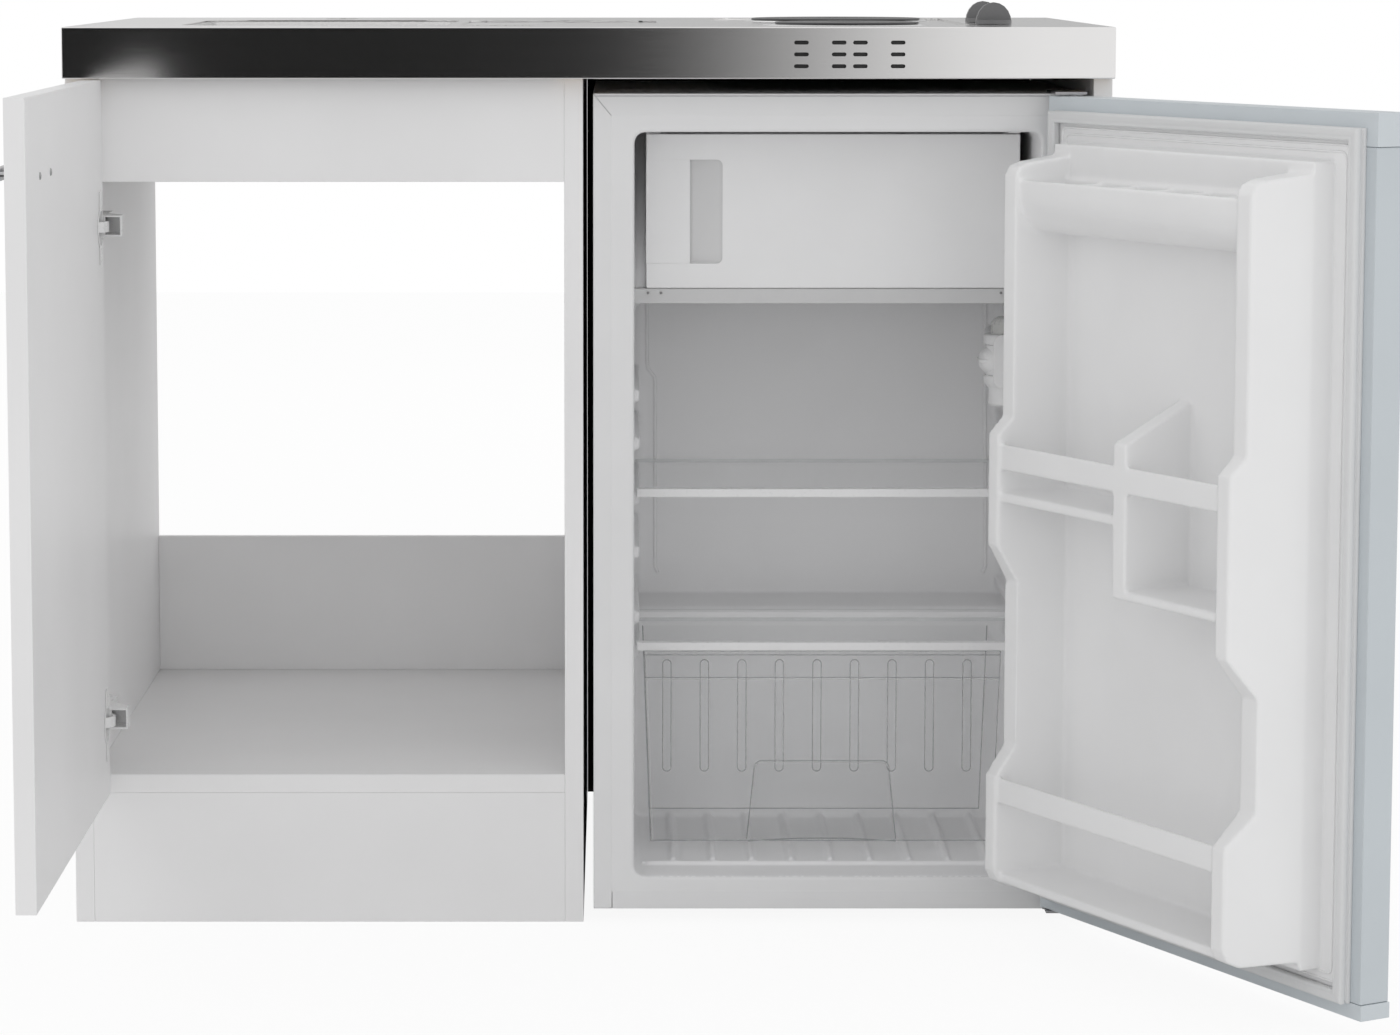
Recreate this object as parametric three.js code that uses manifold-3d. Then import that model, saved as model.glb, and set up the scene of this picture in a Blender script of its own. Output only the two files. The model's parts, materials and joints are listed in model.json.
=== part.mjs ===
// Kitchenette unit: a stainless steel top with a sink and a two-plate hob, on a sink
// cabinet and a niche with an undercounter refrigerator. Both doors stand open.
// Millimetres, +Z up. Sizes are written from the unit's own front left view: X runs to
// the right from the middle of the top, Y runs back from the top's front edge and Z runs
// up from the floor. The finished group is moved so that its origin is the middle of the
// middle panel's foot.
import * as THREE from "three";
import { mergeVertices } from "three/addons/utils/BufferGeometryUtils.js";
import Module from "manifold-3d";

const wasm = await Module();
wasm.setup();

// ---------------------------------------------------------------- driving dimensions

// Whole unit
const unitWidth = 1000;
const unitHeight = 870; // floor to the top's surface
const topDepth = 600;
const frontSetback = 22; // carcass and refrigerator front, behind the top's front edge
const board = 18; // chipboard panels
const seatGap = 0.3; // between pieces that rest on or sit in each other

// Steel top
const sheet = 1.2;
const lipHeight = 49; // folded front, side and back edges
const battenWidth = 28;

// Sink
const bowlLeft = 100; // from the top's left end to the bowl
const bowlFront = 90;
const bowlWidth = 263;
const bowlLength = 330; // front to back
const bowlCorner = 48;
const bowlDepth = 130;
const bowlFlange = 9;
const tapHoleRadius = 17.5;
const tapHoleBack = 90; // centre, from the top's back edge
const wasteBoreRadius = 21;
const wasteWall = 2.5;
const wasteFlange = 11; // how far the flange reaches past the tube
const wasteDrop = 27; // tube below the bowl's floor
const wasteNutHeight = 8;
const wasteNutInset = 3; // nut smaller in radius than the flange
const wasteRimHeight = 1.5; // flange above the bowl's floor
const wasteSeatDepth = 5; // strainer's seat below the bowl's floor
const wasteSeatWidth = 4;
const plugThickness = 2.4;
const plugKnobHeight = 9;
const plugKnobRadius = 6;
const plugNeckRadius = 3.5;
const plugCapHeight = 3;
const plugHoles = 6;
const plugHoleRadius = 2.2;

// Drainer beside the bowl
const drainerGap = 11; // from the bowl's edge
const drainerWidth = 194;
const drainerFront = 82;
const drainerLength = 300;
const drainerCorner = 20;
const drainerSink = 1.5;
const fluteDepth = 2;
const fluteCount = 7;
const fluteStart = 3.5; // first flute, from the drainer's left edge
const fluteWidest = 13.2;
const fluteTaper = 0.835; // each flute's width over the one before
const fluteRib = 1.5; // between flutes
const fluteFront = 125;
const fluteLength = 80;

// Hob
const hobPanelLeft = 628; // pressed panel, from the top's left end
const hobPanelWidth = 247;
const hobPanelFront = 96;
const hobPanelBack = 10; // to the top's back edge
const hobPanelCorner = 60;
const hobPanelSink = 2;
const frontPlateRadius = 72.5;
const frontPlateRing = 12.5; // trim ring seen outside the plate
const frontPlateX = 758;
const frontPlateY = 230;
const rearPlateRadius = 90;
const rearPlateRing = 7.5;
const rearPlateX = 761;
const rearPlateBack = 114; // centre, from the top's back edge
const plateRise = 1.5; // plate's surface above the top
const plateBody = 17; // cast body below the trim ring
const plateStep = 6; // the body is this much smaller in radius than the plate
const ringThickness = 1.2;
const plateDimpleRadius = 17;
const plateDimpleDepth = 1;
const knobX = 899.5;
const frontKnobY = 166;
const rearKnobY = 279;
const knobRadius = 17.9;
const knobHeight = 21.6;
const knobSkirt = 4;
const knobGrip = 9; // thickness of the grip
const spindleRadius = 3;
const spindleLength = 22;
const switchSide = 42;
const switchHeight = 34;
const panLeft = 620;
const panWidth = 342;
const panFront = 88;
const panBackGap = 5; // to the top's back edge
const panDepth = 45;
const panWall = 1;

// Ventilation slots in the front lip, above the refrigerator
const ventPairs = [701.9, 757.8]; // left slot of each pair, from the top's left end
const ventPairPitch = 35.75;
const ventRows = 3;
const ventFirstRow = 14.6; // below the top's surface
const ventRowPitch = 11.2;
const ventLength = 13.8;
const ventHeight = 3.7;

// Carcass
const cabinetWidth = 494.5; // sink cabinet, over its two side panels
const plinthHeight = 128;
const frontRailHeight = 99;
const backRailHeight = 80;
const backStripHeight = 150;
const backStripThickness = 8;
const nicheBackThickness = 3;
const nicheBackFoot = 6; // above the floor

// Cabinet door, drawn open at a right angle
const doorWidth = 491;
const doorTopGap = 1.2; // below the top's lip
const doorBottomRise = 1.5; // above the cabinet floor's underside
const handleDrop = 69; // handle's middle below the door's top edge
const handleFromEdge = 81; // first leg, from the free edge
const handleSpacing = 64;
const handleReach = 24;
const handleBarHeight = 11;
const handleBarThickness = 6;
const handleOverhang = 9; // bar past each leg
const handleLegRadius = 3.5;

// Concealed hinges of the cabinet door
const upperHingeDrop = 140; // cup centre below the door's top edge
const lowerHingeRise = 71.5; // cup centre above the door's bottom edge
const cupRadius = 17.5;
const cupDepth = 12.5;
const cupWall = 0.8;
const cupFromEdge = 21; // cup centre, from the door's hinge edge
const cupFlangeThickness = 0.8;
const cupFlangeRadius = 18.5;
const cupFlangeLength = 70;
const cupFlangeWidth = 13;
const closedGap = 3; // door's inner face to the carcass front, closed
const openGap = 10; // door's hinge edge to the carcass front, open
const doorPivotFromEdge = 13;
const doorPivotDepth = 5.5;
const armPivotShift = 22; // along the bisector of the door pivot's two places
const hingePinRadius = 1.1;
const hingePinPlay = 0.3;
const hingeEyeRadius = 2.4;
const linkThickness = 2.5;
const linkHeight = 10;
const linkReach = 4.6; // middle of the link, out from the open door's inner face
const armHeight = 20;
const armPlate = 1.5; // arm's sheet
const armWidth = 34.5; // knuckle's top, from the side panel
const armWaist = 19; // arm's top behind the knuckle, from the side panel
const armKnuckle = 17; // length of the high part
const armSlope = 18;
const armLength = 75;
const armFront = 1; // in front of the carcass
const mountPlateThickness = 2.5;
const mountPlateWing = 48;
const mountPlateWidth = 18;
const mountPlateBack = 36; // wing's middle, from the carcass front
const mountBossHeight = 13;
const mountBossLength = 46;
const mountBossFront = 3; // in front of the wings
const mountBossPlay = 2; // to the arm's inside, above and below

// Refrigerator body
const fridgeSideGap = 9.75; // to each side of the niche
const fridgeTopGap = 14.5; // below the steel top's lip
const fridgeDepth = 400;
const fridgeFoot = 13;
const footRadius = 15;
const footInset = 36;
const frontFootBack = 70;
const rearFootFront = 26;
const fridgeSideWall = 39.5;
const fridgeTopWall = 37;
const fridgeFloorWall = 32;
const fridgeBackWall = 40;
const cavityCorner = 10;
const linerThickness = 2.5;
const frameWidth = 18; // metal frame round the liner's flange
const frameTopWidth = 22;
const stepTop = 266; // top of the step over the compressor, from the floor
const stepFront = 266; // front of that step, behind the body's front
const stepWall = 30;
const compressorSideWall = 12;
const compressorBase = 3;
const compressorLength = 150;
const compressorThickness = 84;
const compressorHeight = 120;
const compressorLift = 10; // its shell above the base plate
const compressorStand = 20; // width of each stand
const compressorStandDepth = 40;
const compressorX = 195.75; // from the body's left side
const glandRadius = 8;
const glandLength = 9;
const glandHeight = 30; // its middle above the base plate
const glandPlate = 6; // thickness of the upright that holds it
const glandPlateWidth = 28;
const glandPlateBack = 16; // in front of the body's back

// Freezer compartment
const freezerLeft = 12; // from the cavity's left wall
const freezerRight = 11.6; // from the cavity's right wall
const freezerHeight = 151;
const freezerFront = 83; // flap's front face, behind the body's front
const freezerRoofGap = 5.5; // compartment below the cavity's roof
const freezerWall = 3;
const freezerDepth = 240;
const freezerHanger = 14; // side of each of the four hangers
const freezerLug = 8; // lug's left side, left of the flap's pin
const flapThickness = 10;
const flapPinInset = 4;
const flapPinRadius = 2;
const flapPinPlay = 0.4;
const flapPinLength = 6;
const flapPocketWidth = 74.6;
const flapPocketHeight = 102;
const flapPocketDrop = 24.8;
const flapPocketDepth = 5;
const flapPlateWidth = 42.3; // raised plate inside the pocket, at its left
const flapPlateDepth = 3; // the plate's face behind the flap's face
const flapPocketLeft = 1.5;
const dripTrayHeight = 14.4;
const dripTrayWall = 2;
const dripTrayFront = 6; // thickness of its front

// Shelves
const shelfFront = 100; // trim's front, behind the body's front
const shelfTrimDepth = 12;
const shelfTrimHeight = 8.4;
const shelfGlass = 4;
const shelfGlassFront = 3; // glass edge behind the trim's front
const upperShelfBack = 6; // to the cavity's back
const lowerShelfBack = 3; // to the step over the compressor
const shelfSideGap = 3;
const upperShelfDrop = 186.1; // its top, below the drip tray
const lowerShelfTop = 258.4; // from the floor
const ribWidth = 6; // runners moulded in the side walls
const ribHeight = 12;
const ribFront = 20; // behind the trim's front
const spareRibDrops = [89.8, 137.8]; // tops, below the drip tray
const spareRibTops = [352, 286]; // tops, from the floor

// Crisper drawer
const crisperLeft = 10; // from the cavity's left wall, at the rim
const crisperRight = 23; // from the cavity's right wall, at the rim
const crisperTaper = 7; // each side, down to the floor
const crisperFront = 108; // behind the body's front
const crisperDepth = 150;
const crisperTopGap = 0.8; // below the lower shelf's trim
const floorRibHeight = 10; // moulded in the floor, under the drawer
const floorRibWidth = 8;
const floorRibCount = 5;
const floorRibRamp = 14;
const crisperWall = 2.5;
const pullWidth = 133;
const pullSpread = 8; // each side, at its foot
const pullHeight = 79.5;
const pullRise = 3; // above the drawer's underside
const pullReach = 14;
const pullWall = 2;

// Thermostat
const thermostatDepth = 31; // from the cavity's right wall
const thermostatLength = 110;
const thermostatHeight = 53;
const lampGap = 18.5; // lamp's top to the drip tray
const thermostatFront = 128; // behind the body's front
const thermostatCorner = 9;
const dialFront = 4; // dial's edge behind the housing's front
const dialRadius = 14.5;
const dialThickness = 7;
const dialRidge = 4; // thickness of the ridge that turns the dial
const dialRidgeRise = 2;
const dialSpindleRadius = 3;
const dialSpindleLength = 8;
const lampRadius = 8;
const lampHeight = 17;
const lampSocket = 4; // height of the socket under the bulb
const lampShoulder = 8; // height of the bulb's widest place

// Refrigerator door, drawn open
const fridgeDoorSideGap = 4.75; // to each side of the niche, closed
const fridgeDoorTopGap = 16; // below the steel top's lip
const fridgeDoorBottom = 20;
const fridgeDoorThickness = 31;
const fridgeDoorAngle = 119;
const fridgePinInset = 17.8; // from the door's hinge end
const fridgePinFront = 28; // in front of the body
const fridgePinRadius = 4;
const fridgePinPlay = 0.4;
const fridgePinLength = 14;
const topCapHeight = 29;
const bottomCapHeight = 14;
const capOverhang = 1;
const gasketInset = 13.2;
const gasketWidth = 11.5;
const gasketGap = 0.5; // to the body, closed
const bracketThickness = 2.5;
const bracketWidth = 30;
const bracketReach = 8; // past the pin
const bracketHold = 38; // length that lies on the body
const bracketTab = 14; // height of the lower bracket's tab on the body's front
const bracketSide = 12; // past the pin, to the right

// Moulded liner of the refrigerator door
const doorLinerSheet = 3;
const doorLinerPanel = 26.5; // panel behind the racks, off the door's inner face
const doorLinerHingeSide = 34; // outer side of the hinge-side wall, from the hinge pin
const doorLinerFreeSide = 62.8; // outer side of the free-side wall, from the free edge
const doorLinerWall = 17; // side walls, at their rims
const doorLinerDraft = 5; // inner side of a wall, rim to foot
const doorLinerShoulder = 6; // outer side of the hinge-side wall, rim to foot
const doorLinerFarShoulder = 13; // outer side of the free-side wall, rim to foot
const rimLow = 85.5; // side walls off the door's inner face, where they stand back
const rimHigh = 101.5; // and where they hold the racks
const rimWaist = 6; // further back again between the two lower racks
const rimFarWaist = 14; // the same at the free side
const rackFoot = 64; // lowest point of the side walls, from the floor
const rackHeadDrop = 55; // top of the side walls, below the door's top
const lowRackTop = 170; // bottom rack's side walls
const lowRackBlend = 28; // height over which they fall back
const midRackBottom = 390; // at the hinge side
const midRackFarBottom = 335; // at the free side
const midRackTop = 494;
const midRackBlend = 36;
const midRackTopBlend = 15;
const guardThickness = 4;
const guardHeight = 24;
const midGuardTop = 485;
const lowGuardTop = 170;
const canShelfTop = 440; // left half of the middle rack
const bottleShelfTop = 374; // right half of the middle rack
const lowShelfTop = 78;
const shelfSkin = 9;
const dividerX = 237; // from the hinge pin
const dividerThickness = 19;
const dividerTop = 505;
const dividerBackTop = 541;
const eggTrayDrop = 74; // tray's top, below the door's top
const eggTrayHeight = 50;
const eggTrayReach = 82; // off the door's inner face
const eggTrayWall = 5;
const eggTroughDepth = 26;

// ------------------------------------------------------------------- derived places

const left = -unitWidth / 2;
const right = unitWidth / 2;
const lipBottom = unitHeight - lipHeight;
const sheetUnder = unitHeight - sheet;
const carcassFront = frontSetback;
const sideInner = left + board;
const middleRight = left + cabinetWidth;
const middleLeft = middleRight - board;
const nicheRight = right - board;
const fridgeLeft = middleRight + fridgeSideGap;
const fridgeRight = nicheRight - fridgeSideGap;
const fridgeFront = carcassFront;
const fridgeBack = fridgeFront + fridgeDepth;
const fridgeTop = lipBottom - fridgeTopGap;
const cavity = {
  left: fridgeLeft + fridgeSideWall,
  right: fridgeRight - fridgeSideWall,
  floor: fridgeFoot + fridgeFloorWall,
  roof: fridgeTop - fridgeTopWall,
  back: fridgeBack - fridgeBackWall,
  stepFront: fridgeFront + stepFront,
};
const freezer = { top: cavity.roof - freezerRoofGap };
freezer.foot = freezer.top - freezerHeight;
const dripTray = { top: freezer.foot - seatGap };
dripTray.foot = dripTray.top - dripTrayHeight;
const upperShelfTop = dripTray.foot - upperShelfDrop;

// ----------------------------------------------------------------------- solid tools

const round = 32; // sides of a circle
const cornerSteps = 5; // steps of a rounded corner
const smallSteps = 2; // and of a small one

function solid(geometry) {
  const open = geometry.index ? geometry.toNonIndexed() : geometry;
  const bare = new THREE.BufferGeometry();
  bare.setAttribute("position", open.getAttribute("position"));
  const merged = mergeVertices(bare, 1e-4);
  return new wasm.Manifold(
    new wasm.Mesh({
      numProp: 3,
      vertProperties: merged.attributes.position.array,
      triVerts: new Uint32Array(merged.index.array),
    }),
  );
}

function join(...solids) {
  return solids.flat().reduce((a, b) => a.add(b));
}

function cut(base, ...tools) {
  return tools.flat().reduce((a, b) => a.subtract(b), base);
}

function box(x0, x1, y0, y1, z0, z1) {
  const shape = new THREE.BoxGeometry(x1 - x0, y1 - y0, z1 - z0);
  return solid(shape.translate((x0 + x1) / 2, (y0 + y1) / 2, (z0 + z1) / 2));
}

function extruded(shape, length, steps = cornerSteps) {
  return new THREE.ExtrudeGeometry(shape, {
    depth: length,
    bevelEnabled: false,
    curveSegments: steps,
  });
}

// An outline in X and Y, drawn up from z0 to z1.
function upright(shape, z0, z1, steps) {
  return solid(extruded(shape, z1 - z0, steps).translate(0, 0, z0));
}

// An outline in Y and Z, drawn across from x0 to x1.
function across(shape, x0, x1) {
  const turn = new THREE.Matrix4().set(0, 0, 1, x0, 1, 0, 0, 0, 0, 1, 0, 0, 0, 0, 0, 1);
  return solid(extruded(shape, x1 - x0).applyMatrix4(turn));
}

// An outline in X and Z, drawn back from y0 to y1.
function backward(shape, y0, y1, steps) {
  const turn = new THREE.Matrix4().makeRotationX(Math.PI / 2).setPosition(0, y1, 0);
  return solid(extruded(shape, y1 - y0, steps).applyMatrix4(turn));
}

function outline(points) {
  return new THREE.Shape(points.map(([a, b]) => new THREE.Vector2(a, b)));
}

function rounded(x0, x1, y0, y1, radius) {
  const shape = new THREE.Shape();
  shape.moveTo(x0 + radius, y0);
  shape.lineTo(x1 - radius, y0);
  shape.absarc(x1 - radius, y0 + radius, radius, -Math.PI / 2, 0);
  shape.absarc(x1 - radius, y1 - radius, radius, 0, Math.PI / 2);
  shape.absarc(x0 + radius, y1 - radius, radius, Math.PI / 2, Math.PI);
  shape.absarc(x0 + radius, y0 + radius, radius, Math.PI, 1.5 * Math.PI);
  return shape;
}

function post(x, y, z0, z1, radius, sides = round) {
  const shape = new THREE.CylinderGeometry(radius, radius, z1 - z0, sides);
  return solid(shape.rotateX(Math.PI / 2).translate(x, y, (z0 + z1) / 2));
}

// A round bar along Y.
function bar(x, z, y0, y1, radius, sides = round) {
  const shape = new THREE.CylinderGeometry(radius, radius, y1 - y0, sides);
  return solid(shape.translate(x, (y0 + y1) / 2, z));
}

// A turned piece: radius and height points, closed on the axis.
function turned(profile, x, y, sides = round) {
  const points = profile.map(([r, z]) => new THREE.Vector2(r, z));
  const shape = new THREE.LatheGeometry(points, sides);
  return solid(shape.rotateX(Math.PI / 2).translate(x, y, 0));
}

function piece(parent, name, shape, finish) {
  const mesh = shape.getMesh();
  const geometry = new THREE.BufferGeometry();
  const places = new Float32Array(mesh.numVert * 3);
  for (let i = 0; i < mesh.numVert; i++) {
    const from = i * mesh.numProp;
    places.set(mesh.vertProperties.subarray(from, from + 3), i * 3);
  }
  geometry.setAttribute("position", new THREE.BufferAttribute(places, 3));
  geometry.setIndex(new THREE.BufferAttribute(mesh.triVerts, 1));
  const flat = geometry.toNonIndexed();
  flat.computeVertexNormals();
  const made = new THREE.Mesh(flat, new THREE.MeshStandardMaterial(finish));
  made.name = name;
  parent.add(made);
}

const white = { color: 0xf1f2f2, roughness: 0.45, metalness: 0 };
const black = { color: 0x17181a, roughness: 0.7, metalness: 0 };
const wood = { color: 0xb99a6b, roughness: 0.8, metalness: 0 };
const steel = { color: 0xc9cbcc, roughness: 0.28, metalness: 1 };
const zinc = { color: 0xbfc2c4, roughness: 0.3, metalness: 1 };
const castIron = { color: 0x2a2b2d, roughness: 0.6, metalness: 0.3 };
const darkPlastic = { color: 0x4b4d50, roughness: 0.5, metalness: 0 };
const coolerGrey = { color: 0xbcc6cf, roughness: 0.4, metalness: 0.2 };
const linerWhite = { color: 0xe9eaec, roughness: 0.4, metalness: 0 };
const clear = { color: 0xdfe6ea, roughness: 0.15, metalness: 0 };
const rubber = { color: 0xd8d9da, roughness: 0.6, metalness: 0 };

const unit = new THREE.Group();

// -------------------------------------------------------------------------- carcass

function addCarcass() {
  const back = topDepth;
  const panel = (x0) => box(x0, x0 + board, carcassFront, back, 0, lipBottom);
  piece(unit, "side_panel_left", panel(left), white);
  piece(unit, "side_panel_middle", panel(middleLeft), white);
  piece(unit, "end_panel_right", panel(nicheRight), white);

  const between = (y0, y1, z0, z1) => box(sideInner, middleLeft, y0, y1, z0, z1);
  const floorTop = plinthHeight + board;
  const front = carcassFront;
  piece(unit, "cabinet_floor", between(front, back, plinthHeight, floorTop), white);
  piece(unit, "plinth", between(front, front + board, 0, plinthHeight), white);
  const railFoot = lipBottom - frontRailHeight;
  piece(unit, "front_rail", between(front, front + board, railFoot, lipBottom), white);
  const backRailFoot = lipBottom - backRailHeight;
  piece(unit, "back_rail", between(back - board, back, backRailFoot, lipBottom), white);
  const stripTop = floorTop + backStripHeight;
  const strip = between(back - backStripThickness, back, floorTop, stripTop);
  piece(unit, "back_strip", strip, white);

  const x0 = middleRight + seatGap;
  const x1 = nicheRight - seatGap;
  const sheetFront = back - nicheBackThickness;
  piece(unit, "niche_back", box(x0, x1, sheetFront, back, nicheBackFoot, lipBottom), black);
}

// ------------------------------------------------------------------------ steel top

const bowl = {
  x0: left + bowlLeft,
  x1: left + bowlLeft + bowlWidth,
  y0: bowlFront,
  y1: bowlFront + bowlLength,
  floor: unitHeight - bowlDepth,
};
bowl.x = (bowl.x0 + bowl.x1) / 2;
bowl.y = (bowl.y0 + bowl.y1) / 2;

const drainer = {
  x0: bowl.x1 + drainerGap,
  x1: bowl.x1 + drainerGap + drainerWidth,
  y0: drainerFront,
  y1: drainerFront + drainerLength,
  floor: unitHeight - drainerSink,
};

const hobPanel = {
  x0: left + hobPanelLeft,
  x1: left + hobPanelLeft + hobPanelWidth,
  y0: hobPanelFront,
  y1: topDepth - hobPanelBack,
  floor: unitHeight - hobPanelSink,
};

const plates = [
  ["front", left + frontPlateX, frontPlateY, frontPlateRadius, frontPlateRing],
  ["rear", left + rearPlateX, topDepth - rearPlateBack, rearPlateRadius, rearPlateRing],
];

const knobs = [
  ["front", left + knobX, frontKnobY],
  ["rear", left + knobX, rearKnobY],
];

// A shallow pressing in the sheet: what it adds below and what it takes away above.
function pressing(area, corner, floor, steps) {
  const outer = rounded(
    area.x0 - sheet,
    area.x1 + sheet,
    area.y0 - sheet,
    area.y1 + sheet,
    corner + sheet,
  );
  const inner = rounded(area.x0, area.x1, area.y0, area.y1, corner);
  return {
    body: upright(outer, floor - sheet, unitHeight - sheet / 2, steps),
    hollow: upright(inner, floor, unitHeight + sheet, steps),
  };
}

function flutes() {
  const made = [];
  let x = drainer.x0 + fluteStart;
  let width = fluteWidest;
  for (let i = 0; i < fluteCount; i++) {
    const area = { x0: x, x1: x + width, y0: fluteFront, y1: fluteFront + fluteLength };
    const corner = Math.min(width, fluteLength) / 2.1;
    made.push(pressing(area, corner, drainer.floor - fluteDepth, smallSteps));
    x += width + fluteRib;
    width *= fluteTaper;
  }
  return made;
}

function vents() {
  const made = [];
  for (const pair of ventPairs) {
    for (const x of [left + pair, left + pair + ventPairPitch]) {
      for (let row = 0; row < ventRows; row++) {
        const z = unitHeight - ventFirstRow - row * ventRowPitch;
        const half = ventLength / 2;
        const slot = rounded(
          x - half,
          x + half,
          z - ventHeight / 2,
          z + ventHeight / 2,
          ventHeight / 2.1,
        );
        made.push(backward(slot, -sheet, 2 * sheet, smallSteps));
      }
    }
  }
  return made;
}

function addSteelTop() {
  const shell = cut(
    box(left, right, 0, topDepth, lipBottom, unitHeight),
    box(left + sheet, right - sheet, sheet, topDepth - sheet, lipBottom - 1, sheetUnder),
  );
  const drain = pressing(drainer, drainerCorner, drainer.floor);
  const hob = pressing(hobPanel, hobPanelCorner, hobPanel.floor);
  const grooves = flutes();
  const opening = rounded(bowl.x0, bowl.x1, bowl.y0, bowl.y1, bowlCorner);
  const holes = [
    upright(opening, lipBottom, unitHeight + sheet),
    post(bowl.x, topDepth - tapHoleBack, lipBottom, unitHeight + sheet, tapHoleRadius),
    ...plates.map(([, x, y, r]) =>
      post(x, y, lipBottom, unitHeight + sheet, r - plateStep + 1),
    ),
    ...knobs.map(([, x, y]) =>
      post(x, y, lipBottom, unitHeight + sheet, spindleRadius + 1, 16),
    ),
    ...vents(),
  ];
  const pressed = join(shell, drain.body, hob.body, ...grooves.map((g) => g.body));
  const hollows = [drain.hollow, hob.hollow, ...grooves.map((g) => g.hollow)];
  piece(unit, "steel_top", cut(pressed, hollows, holes), steel);
}

function addBattens() {
  const front = sheet + seatGap;
  const back = topDepth - sheet - seatGap;
  const edge = sheet + seatGap;
  const batten = (x0, x1, z1) => box(x0, x1, front, back, lipBottom, z1);
  piece(unit, "batten_left", batten(left + edge, left + edge + battenWidth, sheetUnder), wood);
  const x1 = right - edge;
  piece(unit, "batten_right", batten(x1 - battenWidth, x1, sheetUnder), wood);
  const middle = (middleLeft + middleRight) / 2;
  const underDrainer = drainer.floor - sheet;
  const middleBatten = batten(middle - battenWidth / 2, middle + battenWidth / 2, underDrainer);
  piece(unit, "batten_middle", middleBatten, wood);
}

function addSink() {
  const wasteRadius = wasteBoreRadius + wasteWall;
  const around = (grow) =>
    rounded(
      bowl.x0 - grow,
      bowl.x1 + grow,
      bowl.y0 - grow,
      bowl.y1 + grow,
      bowlCorner + grow,
    );
  const shell = join(
    upright(around(bowlFlange), sheetUnder - sheet, sheetUnder),
    upright(around(sheet), bowl.floor - sheet, sheetUnder),
  );
  const hollow = upright(around(0), bowl.floor, unitHeight);
  const hole = post(bowl.x, bowl.y, bowl.floor - 9, bowl.floor + 9, wasteRadius + seatGap);
  piece(unit, "sink_bowl", cut(shell, hollow, hole), steel);

  const under = bowl.floor - sheet;
  const foot = bowl.floor - wasteDrop;
  const rim = wasteRadius + wasteFlange;
  const nut = rim - wasteNutInset;
  const seat = wasteBoreRadius - wasteSeatWidth;
  const seatTop = bowl.floor - wasteSeatDepth;
  const waste = turned(
    [
      [seat, foot],
      [wasteRadius, foot],
      [wasteRadius, under - wasteNutHeight],
      [nut, under - wasteNutHeight],
      [nut, under - seatGap],
      [wasteRadius, under - seatGap],
      [wasteRadius, bowl.floor + seatGap],
      [rim, bowl.floor + seatGap],
      [rim - 2, bowl.floor + wasteRimHeight],
      [wasteBoreRadius, bowl.floor + wasteRimHeight],
      [wasteBoreRadius, seatTop],
      [seat, seatTop],
      [seat, foot],
    ],
    bowl.x,
    bowl.y,
  );
  piece(unit, "sink_waste", waste, steel);

  const plate = seatTop + seatGap;
  const cover = plate + plugThickness;
  const plug = turned(
    [
      [0, plate],
      [wasteBoreRadius - 1, plate],
      [wasteBoreRadius - 1, cover],
      [plugNeckRadius, cover],
      [plugNeckRadius, cover + plugKnobHeight - plugCapHeight],
      [plugKnobRadius, cover + plugKnobHeight - plugCapHeight + 1],
      [plugKnobRadius, cover + plugKnobHeight],
      [0, cover + plugKnobHeight],
    ],
    bowl.x,
    bowl.y,
  );
  const drains = [];
  const ring = (plugKnobRadius + wasteBoreRadius - 1) / 2;
  for (let i = 0; i < plugHoles; i++) {
    const turn = (2 * i * Math.PI) / plugHoles;
    const x = bowl.x + ring * Math.cos(turn);
    const y = bowl.y + ring * Math.sin(turn);
    drains.push(post(x, y, plate - 1, cover + 1, plugHoleRadius, 12));
  }
  piece(unit, "sink_strainer", cut(plug, drains), steel);
}

function addHob() {
  for (const [name, x, y, radius, ring] of plates) {
    const seat = hobPanel.floor;
    const ringTop = seat + ringThickness;
    const body = radius - plateStep;
    const face = unitHeight + plateRise;
    const foot = ringTop - plateBody;
    const plate = turned(
      [
        [0, foot],
        [body, foot],
        [body, ringTop],
        [radius - 1, ringTop],
        [radius, ringTop + 1],
        [radius, face - 1],
        [radius - 1, face],
        [plateDimpleRadius, face],
        [plateDimpleRadius - 2, face - plateDimpleDepth],
        [0, face - plateDimpleDepth],
      ],
      x,
      y,
      48,
    );
    piece(unit, `hotplate_${name}`, plate, castIron);
    const trim = turned(
      [
        [body + seatGap, seat],
        [radius + ring, seat],
        [radius + ring - 1, ringTop],
        [body + seatGap, ringTop],
        [body + seatGap, seat],
      ],
      x,
      y,
      48,
    );
    piece(unit, `trim_ring_${name}`, trim, steel);
  }

  const switchTop = sheetUnder;
  for (const [name, x, y] of knobs) {
    const foot = unitHeight + seatGap;
    const skirt = foot + knobSkirt;
    const grip = new THREE.Shape();
    grip.moveTo(x - knobRadius + 0.5, foot + 1);
    grip.lineTo(x + knobRadius - 0.5, foot + 1);
    grip.absellipse(
      x,
      foot + 1,
      knobRadius - 0.5,
      unitHeight + knobHeight - foot - 1,
      0,
      Math.PI,
    );
    const knob = join(
      post(x, y, foot, skirt, knobRadius),
      backward(grip, y - knobGrip / 2, y + knobGrip / 2),
      post(x, y, unitHeight - spindleLength, skirt, spindleRadius, 16),
    );
    piece(unit, `knob_${name}`, knob, darkPlastic);
    const half = switchSide / 2;
    const housing = cut(
      box(x - half, x + half, y - half, y + half, switchTop - switchHeight, switchTop),
      post(x, y, unitHeight - spindleLength - 2, unitHeight, spindleRadius + seatGap, 16),
    );
    piece(unit, `switch_${name}`, housing, white);
  }

  const x0 = left + panLeft;
  const x1 = x0 + panWidth;
  const y1 = topDepth - panBackGap;
  const foot = sheetUnder - panDepth;
  const pan = cut(
    box(x0, x1, panFront, y1, foot, sheetUnder),
    box(x0 + panWall, x1 - panWall, panFront + panWall, y1 - panWall, foot + panWall, unitHeight),
  );
  piece(unit, "hob_pan", pan, zinc);
}

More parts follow.
